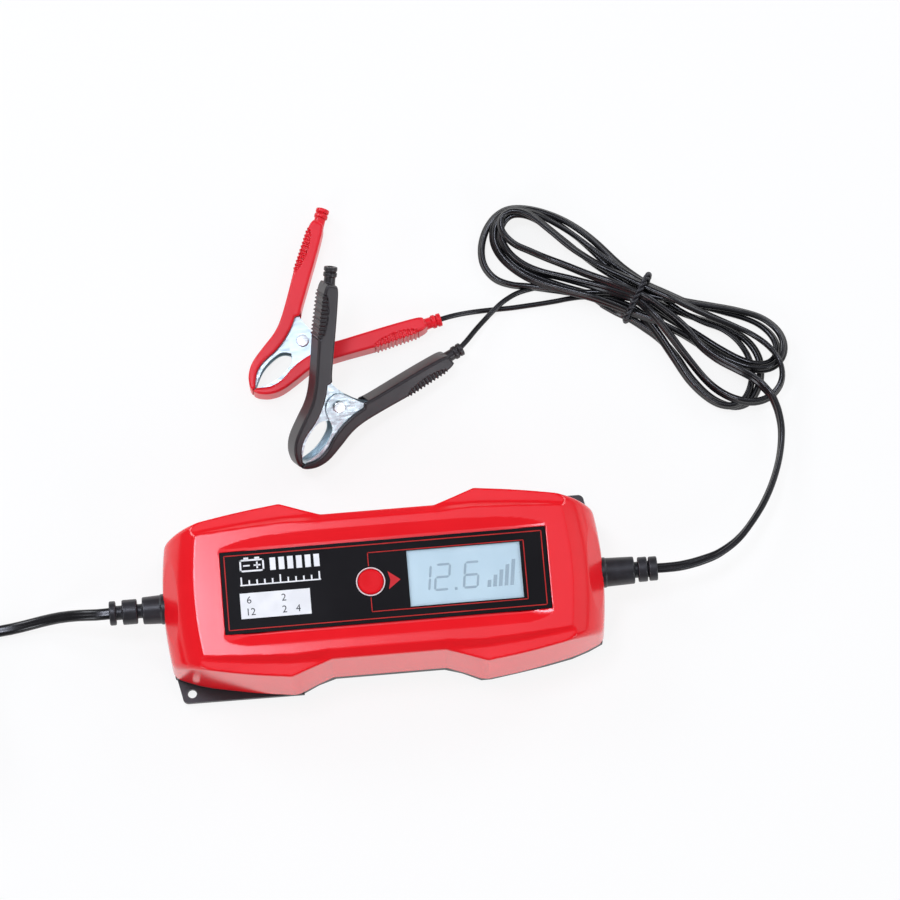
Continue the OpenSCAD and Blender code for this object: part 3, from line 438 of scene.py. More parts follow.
# Runs of the hank in its own frame, u along it and w across it, in millimetres: in from the charger,
# then by turns round the left and the right lobe, and through the tie at u = 0 between them.
hank_runs = [
    (75, -13.2), (67, -10.3), (57, -9.9), (46.5, -9.3), (36.7, -7), (28.5, -3.4), (18.9, -0.8),
    (8.2, 0.8), (0, 1.2), (-12, 0), (-25, -1.2), (-40, -1.8), (-54, -3), (-63, -3.6), (-70.4, -1),
    (-73.6, 4.4), (-70.6, 9.6), (-62.5, 11.6), (-50, 9.6), (-38, 7.2), (-25, 6.2), (-12, 6), (0, 6),
    (12, 6.1), (24, 6.4), (35, 7.2), (46, 8.4), (55, 8.8), (64, 7.2), (71.5, 3.6), (76.3, -1.5),
    (78, -7.5), (76.3, -14), (71.3, -19.4), (64.3, -22.4), (55.5, -22.6), (46, -20.2), (32, -14.2),
    (20, -8.6), (10, -4.2), (0, -1.2), (-10, -2.6), (-22, -4.6), (-34, -6.6), (-46, -8.8), (-56, -9.3),
    (-64, -7.4), (-70, -3), (-72, 2.5), (-70, 8), (-63.5, 11), (-54, 11.2), (-42, 9.2), (-28, 6.4),
    (-14, 4.4), (0, 3.6), (10, 5), (22, 8.6), (33, 12.6), (44, 16.4), (55, 18.6), (64, 17.2), (70, 12.8),
    (72.6, 6.6), (71.3, 0), (66.5, -4.6), (59.5, -6.9), (49, -7.2), (38, -6.4), (26, -5.6), (13, -6.2),
    (0, -7.2), (-10, -8.4), (-21, -10.2), (-34, -12.6), (-45, -14), (-55, -13.6), (-64.5, -11.2),
    (-71.5, -6.6), (-75, -0.5), (-75, 5.4), (-71.5, 10.8), (-65, 13.8), (-56, 15), (-42, 14.4),
    (-28, 12), (-13, 9.6), (0, 8.4), (12, 8.6), (24, 9.8), (36, 12.6), (47, 15.2), (56, 15.8),
    (63.5, 13.8), (68.6, 9.4), (70, 4), (67.6, -0.8), (62.5, -3.6), (55, -4.4), (45, -3.6), (33, -2),
    (20, -0.8), (9, -0.2), (0, 0), (-11, -3.4), (-24, -9.2), (-37, -13.6), (-48, -17), (-56, -20),
    (-64, -20.8), (-71.5, -17.4), (-76.3, -10.6), (-78.3, -2.5), (-77.4, 5.4), (-73.4, 11.6),
    (-66, 15.6), (-56, 18), (-44, 18.4), (-30, 16.2), (-14, 11.6), (0, 9.2), (9, 6.8), (20, 4.4),
    (32, 4.2), (42, 5.2), (51, 3.6), (58.6, -0.6), (63.4, -6.6), (66, -13.6), (66, -20.4), (62.6, -25.4),
    (56.4, -27.6), (48.6, -26.9), (39, -23.6), (28.6, -17.6), (18, -11.4), (8.6, -6.8), (0, -4.6),
    (-12, -6), (-25, -8.2), (-38, -10.4), (-50, -11.6), (-60, -10.6), (-68, -6.4), (-72.6, 0),
    (-73, 6.6), (-69.5, 12.2), (-62, 15.8), (-52, 16.6), (-38, 14.4), (-24, 10.4), (-11, 6.6), (0, 4.6),
    (12, 3.8), (24, 4.6), (36, 6.4), (47, 7.4), (56, 5.8), (63, 1.4), (67.2, -5), (69.2, -12),
    (68.6, -19), (64.6, -24), (58, -26), (49.6, -25.3), (39, -21.4), (28.6, -15.6), (18, -11.6),
    (8, -9.8), (0, -9), (-7, -8.6), (-14, -8)]


def even(path, step):
    """The same line with points a step apart."""
    run = np.r_[0, np.cumsum(np.linalg.norm(np.diff(path, axis=0), axis=1))]
    at = np.linspace(0, run[-1], int(round(run[-1] / step)) + 1)
    return np.stack([np.interp(at, run, path[:, i]) for i in range(path.shape[1])], 1)


def laid(path, width, thick, step):
    """Heights of a flat cord laid on the floor and on itself, its far end first: a run lies on what is under
    it, and climbs to that in a long low hump."""
    n = len(path)
    gap = np.hypot(path[:, None, 0] - path[None, :, 0], path[:, None, 1] - path[None, :, 1])
    under = (np.arange(n)[None] > np.arange(n)[:, None] + 8) & (gap < width)
    lift = thick * np.sqrt(np.sqrt(np.clip(1 - (gap / width) ** 2, 0, 1)))
    lowest, steepest = 1.4, 0.16
    rest = np.maximum(path[:, 2], lowest)
    z = rest.copy()
    for _ in range(9):
        z = np.maximum(rest, np.where(under, z[None] + lift, 0).max(1))
        for i in range(1, n):
            z[i] = max(z[i], z[i - 1] - steepest * step)
        for i in range(n - 2, -1, -1):
            z[i] = max(z[i], z[i + 1] - steepest * step)
    soft = np.convolve(np.r_[[z[0]] * 3, z, [z[-1]] * 3], np.ones(7) / 7, "valid")
    return np.maximum(soft, np.minimum(z, soft + 0.3))


CORD_STEP = 1.6         # between neighbouring points of the low-voltage lead
output_route = [(GLAND_END, 0, EXIT), (131, 0, 21.7), (138, 0.6, 20), (147, 2.6, 15), (156, 6, 9.4),
                (166, 13, 4), (176, 25, 1.5), (183, 37, 1.3), (188, 50, 1.3), (190.3, 62, 1.3),
                (189.8, 71, 1.3), (187.8, 78, 1.3)]
c, s = math.cos(hank_angle), math.sin(hank_angle)
hank = [(hank_middle[0] + u * c - w * s, hank_middle[1] + u * s + w * c, 1.3) for u, w in hank_runs]
output_path = even(smooth_curve(output_route + hank, 6), CORD_STEP)
# flat at the gland and at the split, and mostly on edge between, as flat cord lies in a hank
sway = np.arange(len(output_path)) * CORD_STEP
on_edge = np.clip((sway - 14) / 40, 0, 1) * np.clip((sway[-1] - sway) / 14, 0, 1)
raised = output_path + np.c_[sway * 0, sway * 0, on_edge * 1.05]
output_path[:, 2] = laid(raised, 3.8, 3.1, CORD_STEP)
hank_end = output_path[-1]
output_turn = on_edge * (66 + 12 * np.sin(sway / 31) + 8 * np.sin(sway / 12.7))
points, faces = sweep(output_path, twin_outline(*OUTPUT_SECTION), output_turn)
output_cord = piece("output_cord", points, faces, cord_pvc, crease=60)
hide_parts("output_lead", "output_hank")

red_wire_route = [hank_end + (0, -1, 0), (109, 135.2, 1.3), (104.8, 136.2, 1.3), (98, 136, 1.3),
                  (91.9, 135.3, 1.3), (85, 134.7, 1.3), (79.1, 134.3, 1.3), (71, 133.8, 1.3),
                  (65.4, 133.7, 1.3), (58.3, 133.5, 1.6), (51.2, 132.8, 3), (44.5, 131.6, 5),
                  (38.8, 130.3, 6), (34.5, 129.2, 6)]
black_wire_route = [hank_end + (-0.6, 1, 0), (105.6, 137.4, 1.3), (98.4, 140.6, 1.3), (91.5, 142, 1.3),
                    (85.4, 142.6, 1.3), (79.7, 142, 1.4), (73.5, 140.2, 2.4), (67.3, 136.6, 4),
                    (62.5, 132.8, 4.2), (57.9, 128.6, 4.2), (53, 123.6, 5.4), (48, 118, 6.8),
                    (43.1, 113.4, 7.3)]
wires = {}
for colour, route in (("red", red_wire_route), ("black", black_wire_route)):
    path = smooth_curve(route, 4)
    points, faces = sweep(path, round_outline(WIRE, 12))
    wires[colour] = (piece(colour + "_clamp_wire", points, faces, cord_pvc), path)
    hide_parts(colour + "_wire")


# ---- housing
# Half widths and heights of the section, by distance from the middle along the housing: foot,
# outer edge, step and rim. Straight over the wing's ramp, one soft sweep past it.
stations = [0, 26, 34, 41.5, 44.6, 60, 72, 84, 92, 106]
section = {
    "foot": [35.4, 35.4, 38.4, 41.7, 42.1, 40.1, 37.8, 35.4, 32.7, 26.3],
    "edge": [33.7, 33.7, 36.4, 39.1, 40.2, 38.3, 36.3, 34.0, 31.6, 25.1],
    "edge_up": [43.1, 43.1, 43.1, 43.0, 43.0, 43.3, 43.9, 44.7, 45.2, 45.6],
    "step": [33.0, 33.0, 33.3, 33.3, 33.3, 32.1, 30.8, 29.3, 27.6, 23],
    "step_up": [43.6, 43.6, 43.4, 43.4, 43.4, 43.8, 44.4, 45.1, 45.5, 45.8],
    "rim": [29.5, 29.6, 30.3, 30.7, 30.7, 29.9, 29.1, 28.3, 26.4, 21],
}
FINE_STEP = 0.25
fine = np.arange(0, 112, FINE_STEP)


def softened(values):
    """One line of the section at every fine step, with its corners blurred."""
    line = np.interp(fine, stations, values)

    def blur(width):
        reach = int(width * 3 / FINE_STEP)
        weight = np.exp(-(np.arange(-reach, reach + 1) * FINE_STEP / width) ** 2 / 2)
        mirrored = np.r_[line[reach:0:-1], line, np.full(reach, line[-1])]
        return np.convolve(mirrored, weight / weight.sum(), "valid")

    mix = np.clip((fine - 47) / 8, 0, 1)
    return blur(0.45) * (1 - mix) + blur(3.5) * mix


section = {name: softened(values) for name, values in section.items()}


def beyond(y, z, y0, z0, y1, z1):
    """Distance outside the line from (y0, z0) up to (y1, z1)."""
    dy, dz = y1 - y0, z1 - z0
    return ((y - y0) * dz - (z - z0) * dy) / np.maximum(np.hypot(dy, dz), 1e-3)


BOW_MIDDLE, BOW_RADIUS = -68.6, 170
ROLL_X, ROLL_Z, ROLL_RADIUS = 74.6, 21.53, 27
FLAT_X = 100.95         # where the leaning flats start, 6 mm above the leads
JOINT = 6.15            # lower edge of the shell


def housing_form(p):
    x, y, z = np.abs(p[..., 0]), np.abs(p[..., 1]), p[..., 2]
    at = {name: np.interp(x, fine, values) for name, values in section.items()}
    side = beyond(y, z, at["foot"], 6, at["edge"], at["edge_up"])
    shelf = beyond(y, z, at["edge"], at["edge_up"], at["step"], at["step_up"])
    slope = beyond(y, z, at["step"], at["step_up"], at["rim"], TOP)
    top = smooth_max(smooth_min(shelf, slope, 0.7), z - TOP, 0.4)
    bow = np.hypot(x - BOW_MIDDLE, y) - BOW_RADIUS
    # the rolled end follows a gentler bow, so the leaning flats cut it in an oval
    swept = x + y * y / 340
    roll = np.where(z > 26.2, np.hypot(np.maximum(swept - ROLL_X, 0), z - ROLL_Z) - ROLL_RADIUS,
                    (swept - 103.1 + z * 0.0728) * 0.997)
    # round at the corners and along the wings, crisp where the plateau breaks into the rolled end
    crease = 0.22 + 0.5 * np.clip((y - at["rim"] + 0.5) / 3, 0, 1)
    form = smooth_max(smooth_max(side, smooth_max(bow, roll, 1.4), 2.6), top, crease)
    lean = math.radians(30)
    flat = np.minimum((x - FLAT_X) * math.cos(lean) + (z - EXIT - 6) * math.sin(lean), 30 - y)
    form = smooth_max(form, flat, 0.1)
    form = smooth_max(form, JOINT - z, 0.7)
    # shallow scoops along the panel's long sides
    from_middle = np.abs(p[..., 0] - PANEL_X)
    t = np.clip(from_middle / 76, 0, 1)
    brim = np.where(p[..., 1] > 0, 19.9 + 6 * (1 - t ** 6), 19.9 + 5.4 * (1 - t ** 14))
    scoop = TOP - z - smooth_min(0.26 * (brim - np.maximum(y, 20.4)), 0.12 * (75 - from_middle), 0.25)
    form = smooth_max(form, -np.maximum(scoop * 0.97, 18.5 - y), 0.05)
    # seat of the panel, the openings under it and the round seats of the glands
    seat = box_form(p, (PANEL_X, 0, 49.6), (74.4, 19.1, 5))
    window = box_form(p, (WINDOW_X, 0, 44), (28.2, 14.9, 5.2))
    well = np.maximum(np.hypot(p[..., 0] - BUTTON_X, y) - 6.8, 38 - z)
    socket = np.maximum(np.hypot(y, z - EXIT) - 7.2, GLAND_SEAT - x)
    return smooth_max(form, -np.minimum(np.minimum(seat, socket), np.minimum(window, well)), 0.2)


points, faces, normals = skin(housing_form, (-103.2, -43.2, 4.4), (103.6, 43.6, 47.6), 0.7)
shell = piece("red_upper_shell", points, faces, red_abs, normals=normals)
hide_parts("upper_shell")


# ---- panel and its print
def rectangle(x0, y0, x1, y1):
    return [(x0, y0), (x1, y0), (x1, y1), (x0, y1)]


def rounded(x0, y0, x1, y1, r, parts):
    """Rectangle with round corners, each drawn in this many parts."""
    out = []
    corners = ((x1 - r, y0 + r, -90), (x1 - r, y1 - r, 0), (x0 + r, y1 - r, 90), (x0 + r, y0 + r, 180))
    for cx, cy, start in corners:
        out += [(cx + r * math.cos(math.radians(start + 90 * k / parts)),
                 cy + r * math.sin(math.radians(start + 90 * k / parts))) for k in range(parts + 1)]
    return out


def stroke(points, width):
    """Rectangles that draw a line through the points."""
    out = []
    for (x0, y0), (x1, y1) in zip(points, points[1:]):
        run = math.hypot(x1 - x0, y1 - y0)
        ux, uy = (x1 - x0) / run * width / 2, (y1 - y0) / run * width / 2
        out.append([(x0 - ux + uy, y0 - uy - ux), (x1 + ux + uy, y1 + uy - ux),
                    (x1 + ux - uy, y1 + uy + ux), (x0 - ux - uy, y0 - uy + ux)])
    return out


def framed(x0, y0, x1, y1, width):
    return stroke([(x0, y0), (x1, y0), (x1, y1), (x0, y1), (x0, y0)], width)


FILM_TOP = 45.4


def printed(name, outlines, material, height=0.03, base=FILM_TOP):
    """A print of this thickness on a face, sunk a little into it."""
    points, faces = plates(outlines, base - 0.02, base + height)
    piece(name, points, faces, material, crease=30)


dress("display_panel", film)
printed("panel_border_print", framed(-71.2, -17.2, 73.4, 17.2, 0.45), red_ink)
printed("button_line_print",
        stroke([(-6, 7.4), (-6, 13.5), (65, 13.5), (65, -13.9), (-6, -13.9), (-6, -7.4)], 0.4), red_ink)
printed("arrow_print", [[(2.4, -4.2), (8, 0), (2.4, 4.2), (3.4, 0)]], arrow_ink)
printed("rating_field_print", [rectangle(-65.3, -12.4, -33.4, -0.6)], white_ink)
# battery pictogram: outline, two posts, minus and plus, then a row of level bars
battery = framed(-64, 9.6, -53.6, 14.6, 0.8)
battery += [rectangle(-62.4, 14.8, -60.2, 15.9), rectangle(-57.4, 14.8, -55.2, 15.9)]
battery += stroke([(-62.4, 12.1), (-60, 12.1)], 0.7) + stroke([(-57.6, 12.1), (-55.2, 12.1)], 0.7)
battery += stroke([(-56.4, 10.9), (-56.4, 13.3)], 0.7)
battery += [rectangle(-50.6 + 4 * k, 9.2, -48 + 4 * k, 15) for k in range(6)]
battery += [rectangle(-64.4 + 3.55 * k, 3.4, -63.7 + 3.55 * k, 6.9 if k % 5 == 0 else 5.4) for k in range(11)]
battery += stroke([(-64.4, 3.1), (-28.2, 3.1)], 0.6)
printed("battery_pictogram_print", battery, white_ink)


def numerals(name, rows, material, base):
    """Plain figures: (text, x, y, height) each, as thin plates."""
    points, faces = [], []
    for text, x, y, size in rows:
        curve = bpy.data.curves.new(name, "FONT")
        curve.body, curve.size, curve.extrude = text, size * 1.38, 0.03
        curve.resolution_u = 4
        thing = bpy.data.objects.new(name, curve)
        mesh = bpy.data.meshes.new_from_object(thing)
        start = len(points)
        points += [[v.co.x + x, v.co.y + y, v.co.z + base] for v in mesh.vertices]
        faces += [[start + i for i in f.vertices] for f in mesh.polygons]
        bpy.data.objects.remove(thing)
    piece(name, points, faces, material, crease=30)


numerals("rating_numerals", [("6", -62.4, -5.4, 3.4), ("2", -46.6, -5.4, 3.4),
                             ("12", -63.2, -10.9, 3.4), ("2", -46.6, -10.9, 3.4), ("4", -40.4, -10.9, 3.4)],
         black_ink, FILM_TOP + 0.03)

# liquid-crystal reading: slanted seven-segment figures, a point and a row of level bars
SEGMENTS = {"1": "bc", "2": "abged", "6": "acdefg"}
SLANT, GLASS_FACE = 0.14, 44.56


def segment_bars(figure, x, y, wide, tall, thick):
    """The lit bars of one figure, with pointed ends."""
    def slant(px, py):
        return x + px + SLANT * py, y + py

    bars = {"a": (0, tall, wide, tall), "g": (0, tall / 2, wide, tall / 2), "d": (0, 0, wide, 0),
            "f": (0, tall / 2, 0, tall), "e": (0, 0, 0, tall / 2), "b": (wide, tall / 2, wide, tall),
            "c": (wide, 0, wide, tall / 2)}
    out = []
    for key in SEGMENTS[figure]:
        x0, y0, x1, y1 = bars[key]
        trim = thick * 0.6
        if y0 == y1:
            x0, x1 = x0 + trim, x1 - trim
            out.append([slant(x0, y0 - thick / 2), slant(x1, y0 - thick / 2), slant(x1 + thick / 2, y0),
                        slant(x1, y0 + thick / 2), slant(x0, y0 + thick / 2), slant(x0 - thick / 2, y0)])
        else:
            y0, y1 = y0 + trim, y1 - trim
            out.append([slant(x0, y0 - thick / 2), slant(x0 + thick / 2, y0), slant(x0 + thick / 2, y1),
                        slant(x0, y1 + thick / 2), slant(x0 - thick / 2, y1), slant(x0 - thick / 2, y0)])
    return out


reading = []
for figure, x in (("1", 14.4), ("2", 23.2), ("6", 36.4)):
    reading += segment_bars(figure, x, -6.2, 6.2, 11.6, 1.1)
reading += [rectangle(32.2, -6.9, 33.5, -5.6)]
reading += [[(47 + 2.6 * k, -6.8), (48.7 + 2.6 * k, -6.8), (48.7 + 2.6 * k + SLANT * h, -6.8 + h),
             (47 + 2.6 * k + SLANT * h, -6.8 + h)] for k, h in enumerate((3.2, 5.4, 7.6, 9.8, 12))]
printed("lcd_reading", reading, segment_ink, 0.02, GLASS_FACE)

# ---- mode button and its ring
points, faces = lathe([(2, 40.0), (2, 42.1), (7.8, 42.1), (7.8, 43.3), (5.8, 43.3), (5.8, 45.5), (5.65, 45.9),
                       (5.3, 46.12), (4.6, 46.2), (3, 46.12), (1.4, 46.06), (0.3, 46.04)],
                      Matrix.Translation((BUTTON_X, 0, 0)))
button = piece("red_mode_button", points, faces, button_abs, "mode_button", crease=50)
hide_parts("mode_button")
RING_SIDES = 80
points, faces = lathe([(6.1, 44.6), (6.65, 44.6), (6.65, 45.55), (6.55, 45.68), (6.38, 45.72), (6.2, 45.68),
                       (6.1, 45.55)], Matrix.Translation((BUTTON_X, 0, 0)), RING_SIDES)
# the ring is open in the middle: its last row joins its first in place of two end faces
last = 6 * RING_SIDES
ring_faces = faces[:-2] + [(last + i, last + (i + 1) % RING_SIDES, (i + 1) % RING_SIDES, i)
                           for i in range(RING_SIDES)]
bezel = piece("pale_button_ring", points, ring_faces, pale_abs, crease=50)
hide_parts("button_bezel")


# ---- glands
def gland_form(collar, gap, ring_a, ring_b, core):
    """Segmented strain relief along +X from its seat: flange, tapered collar, two rings on a core."""
    def form(p):
        x = p[..., 0]
        r = np.hypot(p[..., 1], p[..., 2])

        def drum(start, end, radius, edge):
            return smooth_max(r - radius, np.abs(x - (start + end) / 2) - (end - start) / 2, edge)

        solid = drum(-1, collar, 6.7 - 0.45 * x / collar, 0.7)
        solid = smooth_min(solid, drum(-1, 1.9, 7.0, 0.5), 0.4)
        solid = smooth_min(solid, drum(-1, GLAND_LENGTH, core / 2, 0.4), 0.6)
        solid = smooth_min(solid, drum(collar + gap, collar + gap + ring_a, 5.75, 0.7), 0.4)
        return smooth_min(solid, drum(GLAND_LENGTH - ring_b, GLAND_LENGTH, 5.6, 0.7), 0.4)
    return form


for name, side, sizes in (("mains", -1, (10.4, 2.4, 6.9, 3, 6.6)), ("output", 1, (15, 1.7, 4.3, 3.9, 7.4))):
    points, faces, normals = skin(gland_form(*sizes), (-2, -8.5, -8.5), (27, 8.5, 8.5), 0.4)
    points, normals = points * (side, 1, 1) + (side * GLAND_SEAT, 0, EXIT), normals * (side, 1, 1)
    faces = faces[:, ::-1] if side < 0 else faces
    gland = piece(name + "_strain_relief", points, faces, gland_pvc, normals=normals)
    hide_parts(name + "_gland")

# ---- clamps
sleeve_outer = [(-33.4, 0.2), (-32.4, 3), (-29, 6.9), (-23.4, 9.8), (-15, 11.2), (-7, 12.2), (0, 14.6),
                (10, 20), (22, 27), (34, 33.2), (42, 36.7), (45.3, 37.1)]
handle_inner = [(46.8, 32.6), (44.4, 30.3), (34, 24.2), (22, 17.6), (12, 12.1), (8, 9.4)]
grip_inner = [(5.6, 10.5), (1, 8.3), (-6, 6.3), (-13, 5.6), (-20, 6), (-26, 4.4), (-31.2, 0.2)]
jaw_back = [(-31, 1.4), (-27.6, 5.2), (-22, 7.4), (-14, 8.6), (-6, 9.4), (1, 12), (12, 18.2), (26, 25.6),
            (40, 32.4)]
pocket_inner = [(41, 29.9), (26, 21.4), (13, 14.3), (9.4, 12.1), (9.4, 0), (-14, -4), (-36, -6)]
sleeve_outline = np.concatenate([smooth_curve(p, 4) for p in (sleeve_outer, handle_inner, grip_inner)])
pocket_outline = np.r_[smooth_curve(jaw_back, 3), pocket_inner]
RIB_PITCH = 1.85


def sleeve_form(p):
    """Vinyl sleeve of the +Y arm, with its hollow, its ribbed grip and the boot for the wire."""
    z = p[..., 2]
    body = smooth_max(outline_form(p, sleeve_outline), np.abs(z - CLAMP_MIDDLE) - CLAMP_MIDDLE, 1.3)
    # the grip: a narrow lens sunk into both faces, crossed by ribs that stand proud of the edge
    c, s = math.cos(math.radians(26.6)), math.sin(math.radians(26.6))
    along = (p[..., 0] - 22) * c + (p[..., 1] - 27) * s
    out = -(p[..., 0] - 22) * s + (p[..., 1] - 27) * c
    lens = (np.hypot((along - 9.8) / 11, (out + 0.2) / 3.1) - 1) * 3
    body = smooth_max(body, -np.maximum(lens, 5.35 - np.abs(z - CLAMP_MIDDLE)), 0.3)
    body = smooth_max(body, -np.maximum(lens, -0.2 - out), 0.1)
    beat = np.abs((along + 0.5) % RIB_PITCH - RIB_PITCH / 2) - 0.45
    inside = np.maximum(np.maximum(beat, np.abs(z - CLAMP_MIDDLE) - 5.85), lens)
    rib = smooth_max(inside, out - 0.45, 0.3)
    body = smooth_min(body, np.maximum(rib, -3.2 - out), 0.2)
    pocket = np.maximum(outline_form(p, pocket_outline), np.abs(z - CLAMP_MIDDLE) - 4.8)
    body = smooth_max(body, -pocket, 0.3)
    # boot along the wire
    bx, by = p[..., 0] - 45.4, p[..., 1] - 34.4
    c, s = math.cos(math.radians(28)), math.sin(math.radians(28))
    t = bx * c + by * s
    r = np.hypot(-bx * s + by * c, z - CLAMP_MIDDLE)
    neck = smooth_max(r - (2.75 - 0.04 * t), np.abs(t - 3.6) - 5, 0.3)
    for start, end, radius in ((3.9, 5.9, 3.2), (6.5, 8.5, 3.15)):
        ring = smooth_max(r - radius, np.abs(t - (start + end) / 2) - (end - start) / 2, 0.4)
        neck = smooth_min(neck, ring, 0.15)
    neck = smooth_max(neck, -(r - 1.3), 0.2)
    return smooth_min(body, neck, 0.6)


sleeve_skin = skin(sleeve_form, (-35, -1.6, -0.6), (55.6, 44, 12.7), 0.55)
red_place = Matrix.Translation((-27.8, 123.8, 0)) @ Matrix.Rotation(math.radians(41.3), 4, "Z")
black_place = (Matrix.Translation((-25.6, 69.6, 0)) @ Matrix.Rotation(math.radians(32.2), 4, "Z")
               @ Matrix.Rotation(math.radians(32), 4, "X") @ Matrix.Rotation(math.radians(23.3), 4, "Z")
               @ Matrix.Translation((26.2, 8.7, 0)))
mirror = Matrix.Scale(-1, 4, (0, 1, 0))


def placed(points, faces, normals, place):
    """The same piece in another place; faces are turned over where the place mirrors it."""
    turn = np.array(place.to_3x3())
    moved = np.asarray(points) @ turn.T + np.array(place.translation)
    flip = place.to_3x3().determinant() < 0
    faces = [tuple(f)[::-1] for f in faces] if flip else faces
    return moved, faces, None if normals is None else normals @ turn.T


rivet_profile = [(0.2, 0.12), (1.6, 0.12), (2.5, 0.12), (2.8, 0.4), (2.8, 0.9), (1.75, 0.95), (1.75, 11.05),
                 (2.8, 11.1), (2.8, 11.6), (2.5, 11.95), (1.6, 12), (0.2, 12)]
SPRING_RADIUS, SPRING_TURNS, SPRING_POINTS = 3.4, 3, 73
helix_angles = np.radians(np.linspace(60, 60 + SPRING_TURNS * 360, SPRING_POINTS))
helix = np.c_[SPRING_RADIUS * np.cos(helix_angles), SPRING_RADIUS * np.sin(helix_angles),
              np.linspace(3.95, 8.05, SPRING_POINTS)]
for colour, place, vinyl in (("red", red_place, red_vinyl), ("black", black_place, black_vinyl)):
    for arm, turn, body in (("wire", place @ mirror, "charger"), ("free", place, colour + "_free_arm")):
        points, faces, normals = placed(*sleeve_skin, turn)
        sleeve = piece(colour + "_" + arm + "_grip", points, faces, vinyl, body, normals=normals)
        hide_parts(colour + "_" + arm + "_sleeve")
    points, faces = lathe(rivet_profile, place, 40)
    rivet = piece(colour + "_pivot_rivet", points, faces, nickel, crease=40)
    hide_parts(colour + "_rivet")
    points, faces = sweep(helix, round_outline(1.1))
    points, faces, _ = placed(points, faces, None, place)
    spring = piece(colour + "_coil_spring", points, faces, nickel)
    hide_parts(colour + "_spring")


# ---- ties and plug
TWIST = 0.8             # distance of each tie wire from the line they twist round


def twisted_tie(name, middle, angle, wide, tall, centre_z, node):
    """Two thin wires twisted together round a bundle, in the upright plane across it."""
    loop = np.array(rounded(-wide / 2, -tall / 2, wide / 2, tall / 2, min(wide, tall) * 0.42, 8))
    loop = np.r_[loop, loop[:1]]
    steps = np.r_[0, np.cumsum(np.linalg.norm(np.diff(loop, axis=0), axis=1))]
    around = np.linspace(0, steps[-1], 140)
    ring = np.c_[np.interp(around, steps, loop[:, 0]), np.interp(around, steps, loop[:, 1])]
    outward = ring / np.linalg.norm(ring, axis=1)[:, None]
    points, faces = [], []
    across = np.array([math.cos(angle), math.sin(angle), 0])
    axis = np.array([-math.sin(angle), math.cos(angle), 0])
    for start in (0, math.pi):
        twist = around / steps[-1] * 2 * math.pi * round(steps[-1] / 6) + start
        swung = ring + TWIST * outward * np.cos(twist)[:, None]
        path = (np.array([*middle, centre_z]) + across * swung[:, :1] + np.array([0, 0, 1.0]) * swung[:, 1:]
                + axis * TWIST * np.sin(twist)[:, None])
        p, f = sweep(path, round_outline(1.5, 8), up=axis)
        faces += [tuple(len(points) + i for i in face) for face in f]
        points += p.tolist()
    tie = piece(name, points, faces, gland_pvc)
    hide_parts(node)
    return tie


hank_tie = twisted_tie("hank_twist_tie", hank_middle, hank_angle + math.pi / 2, 23.8, 12.6, 7.95, "hank_tie")
coil_tie = twisted_tie("coil_twist_tie", (coil_middle[0], -65), math.pi / 2, 20.2, 22.2, 12.75, "coil_tie")


def plug_form(p):
    """Flat two-pin plug along +Z: relief, sloped neck and body with finger dips."""
    x, y, z = np.abs(p[..., 0]), p[..., 1], p[..., 2]

    def stadium(half_straight, radius):
        return np.hypot(np.maximum(x - half_straight, 0), y) - radius

    body = smooth_max(stadium(11.1, 6.6), np.abs(z - 33) - 17, 1.6)
    dip = np.hypot(x - 28, (z - 30) * 0.8) - 13.6
    body = smooth_max(body, -dip, 1.2)
    neck = smooth_max(stadium(7 * np.clip((z - 2) / 12, 0, 1), 5.5), np.abs(z - 11) - 5.6, 1.2)
    relief = smooth_max(np.hypot(x, y) - 3.5 - 0.13 * z, np.abs(z - 4.6) - 4.6, 0.5)
    for k in range(4):
        ring = smooth_max(np.hypot(x, y) - 4.3 - 0.13 * z, np.abs(z - 1.2 - 2 * k) - 0.5, 0.4)
        relief = smooth_min(relief, ring, 0.3)
    return smooth_min(smooth_min(body, neck, 1.4), relief, 0.6)


points, faces, normals = skin(plug_form, (-19, -8, -1.2), (19, 8, 51), 0.6)
plug_place = Matrix.Translation(plug_base.tolist()) @ Matrix.Rotation(math.radians(90), 4, "X")
points, faces, normals = placed(points, faces, normals, plug_place)
plug = piece("flat_mains_plug", points, faces, gland_pvc, normals=normals)
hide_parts("plug_body")
PIN_X = 9.4
points, faces = [], []
for x in (-PIN_X, PIN_X):
    p, f = lathe([(1.9, 49.5), (2.06, 50), (2.06, 59), (1.9, 59.3)],
                 plug_place @ Matrix.Translation((x, 0, 0)), 32)
    faces += [tuple(len(points) + i for i in face) for face in f]
    points += p
pin_sheaths = piece("pin_sheaths", points, faces, gland_pvc, crease=40)

# ---- each clamp wire and its path, looked up by colour
for colour, length in (("red", 0.081), ("black", 0.085)):
    wire, path = wires[colour]

# ---- stage and light
floor_finish, tree, shader, place = blank_finish("white_paper_floor")
shader.inputs["Base Color"].default_value = linear("#fbfbfb")
shader.inputs["Roughness"].default_value = 0.9
shader.inputs["Specular IOR Level"].default_value = 0.1
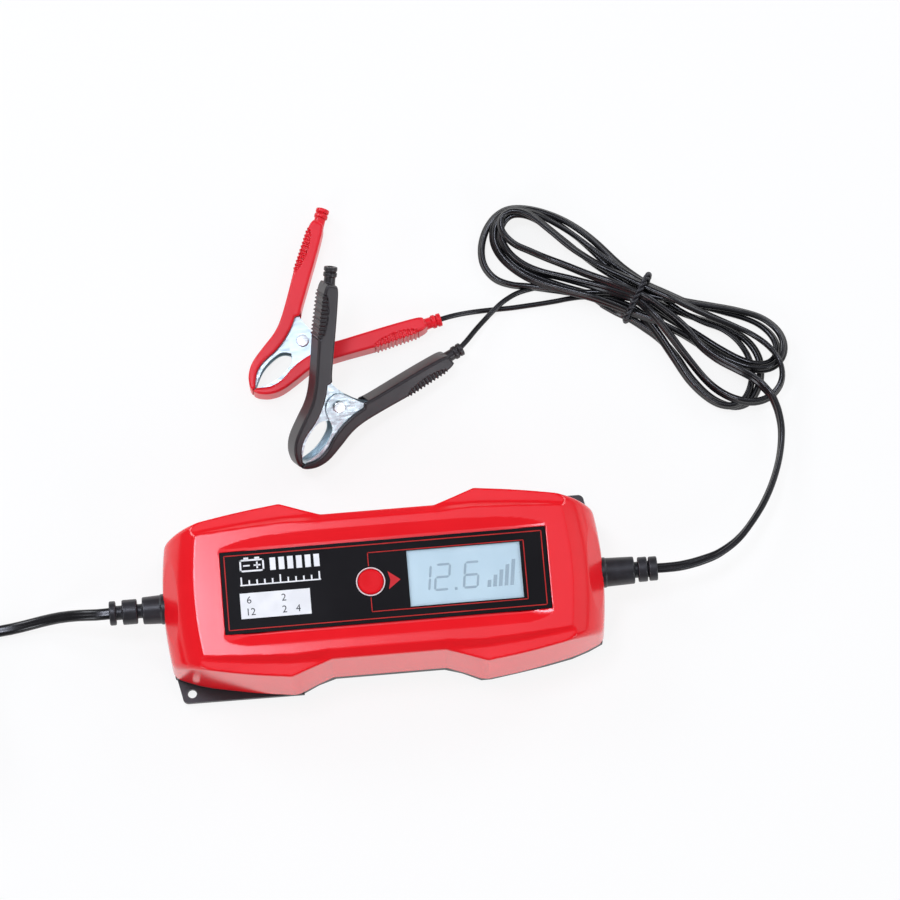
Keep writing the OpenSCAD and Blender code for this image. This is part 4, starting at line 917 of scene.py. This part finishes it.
# seen straight or in a gloss it is mostly plain white, and still keeps part of each shadow
ray = add(tree, "ShaderNodeLightPath")
seen = add(tree, "ShaderNodeMath", {0: ray.outputs["Is Camera Ray"], 1: ray.outputs["Is Glossy Ray"]},
           operation="MAXIMUM")
seen = add(tree, "ShaderNodeMath", {0: seen.outputs[0], 1: ray.outputs["Is Transmission Ray"]},
           operation="MAXIMUM")
white = add(tree, "ShaderNodeEmission", {"Color": (1, 1, 1, 1), "Strength": 1.0})
part = add(tree, "ShaderNodeMath", {0: seen.outputs[0], 1: 0.86}, operation="MULTIPLY")
blend = add(tree, "ShaderNodeMixShader", {0: part.outputs[0], 1: shader.outputs[0], 2: white.outputs[0]})
tree.links.new(blend.outputs[0], tree.nodes["Material Output"].inputs["Surface"])
floor_mesh = bpy.data.meshes.new("floor")
floor_mesh.from_pydata([(-6, -6, 0), (6, -6, 0), (6, 6, 0), (-6, 6, 0)], [], [(0, 1, 2, 3)])
floor_mesh.materials.append(floor_finish)
floor = bpy.data.objects.new("floor", floor_mesh)
bpy.context.scene.collection.objects.link(floor)

world = bpy.data.worlds.new("studio")
bpy.context.scene.world = world
world.use_nodes = True
sky = world.node_tree
direction = add(sky, "ShaderNodeTexCoord").outputs["Generated"]
height = add(sky, "ShaderNodeSeparateXYZ", {"Vector": direction})
fade = add(sky, "ShaderNodeValToRGB", {"Fac": height.outputs["Z"]})
for place, level in ((0, 0.26), (1, 0.2), (0.04, 0.2), (0.1, 0.17), (0.8, 0.12)):
    stop = fade.color_ramp.elements[int(place)] if place in (0, 1) else fade.color_ramp.elements.new(place)
    stop.color = (level, level, level, 1)
sky.links.new(fade.outputs["Color"], sky.nodes["Background"].inputs["Color"])
sky.nodes["Background"].inputs["Strength"].default_value = 1.0


def softbox(name, place, size, power, turn=None, tint=(0.9, 0.93, 1.0)):
    """Lamp aimed at the object, or straight down and turned by this angle."""
    lamp = bpy.data.lights.new(name, "AREA")
    lamp.shape, lamp.size, lamp.size_y, lamp.energy = "RECTANGLE", size[0], size[1], power
    lamp.color = tint
    holder = bpy.data.objects.new(name, lamp)
    bpy.context.scene.collection.objects.link(holder)
    holder.location = place
    if turn is None:
        holder.rotation_euler = (Vector((0, 0, 0.03)) - Vector(place)).to_track_quat("-Z", "Y").to_euler()
    else:
        holder.rotation_euler = (0, 0, math.radians(turn))


OVERHEAD_TINT = (0.82, 0.86, 1.02)
# two panels overhead, mirrored in the plateau, one at the right for the rolled end there, and four at the
# corners, between the slopes' mirrors
softbox("left_overhead", (-0.32, 0.28, 1.5), (0.36, 0.32), 6.2, 29, OVERHEAD_TINT)
softbox("wide_overhead", (0.2, 0.42, 1.56), (2.0, 1.06), 4.4, 0, OVERHEAD_TINT)
softbox("right_side_softbox", (2.2, 0.3, 1.0), (1.2, 1.5), 4.5)
for name, place, power in (("back_left", (-1.5, 1.5, 1.4), 20.5), ("back_right", (1.6, 1.5, 1.3), 15),
                           ("front_left", (-1.5, -1.6, 1.3), 16.5), ("front_right", (1.6, -1.5, 1.2), 15)):
    softbox(name + "_softbox", place, (1.0, 1.0), power)
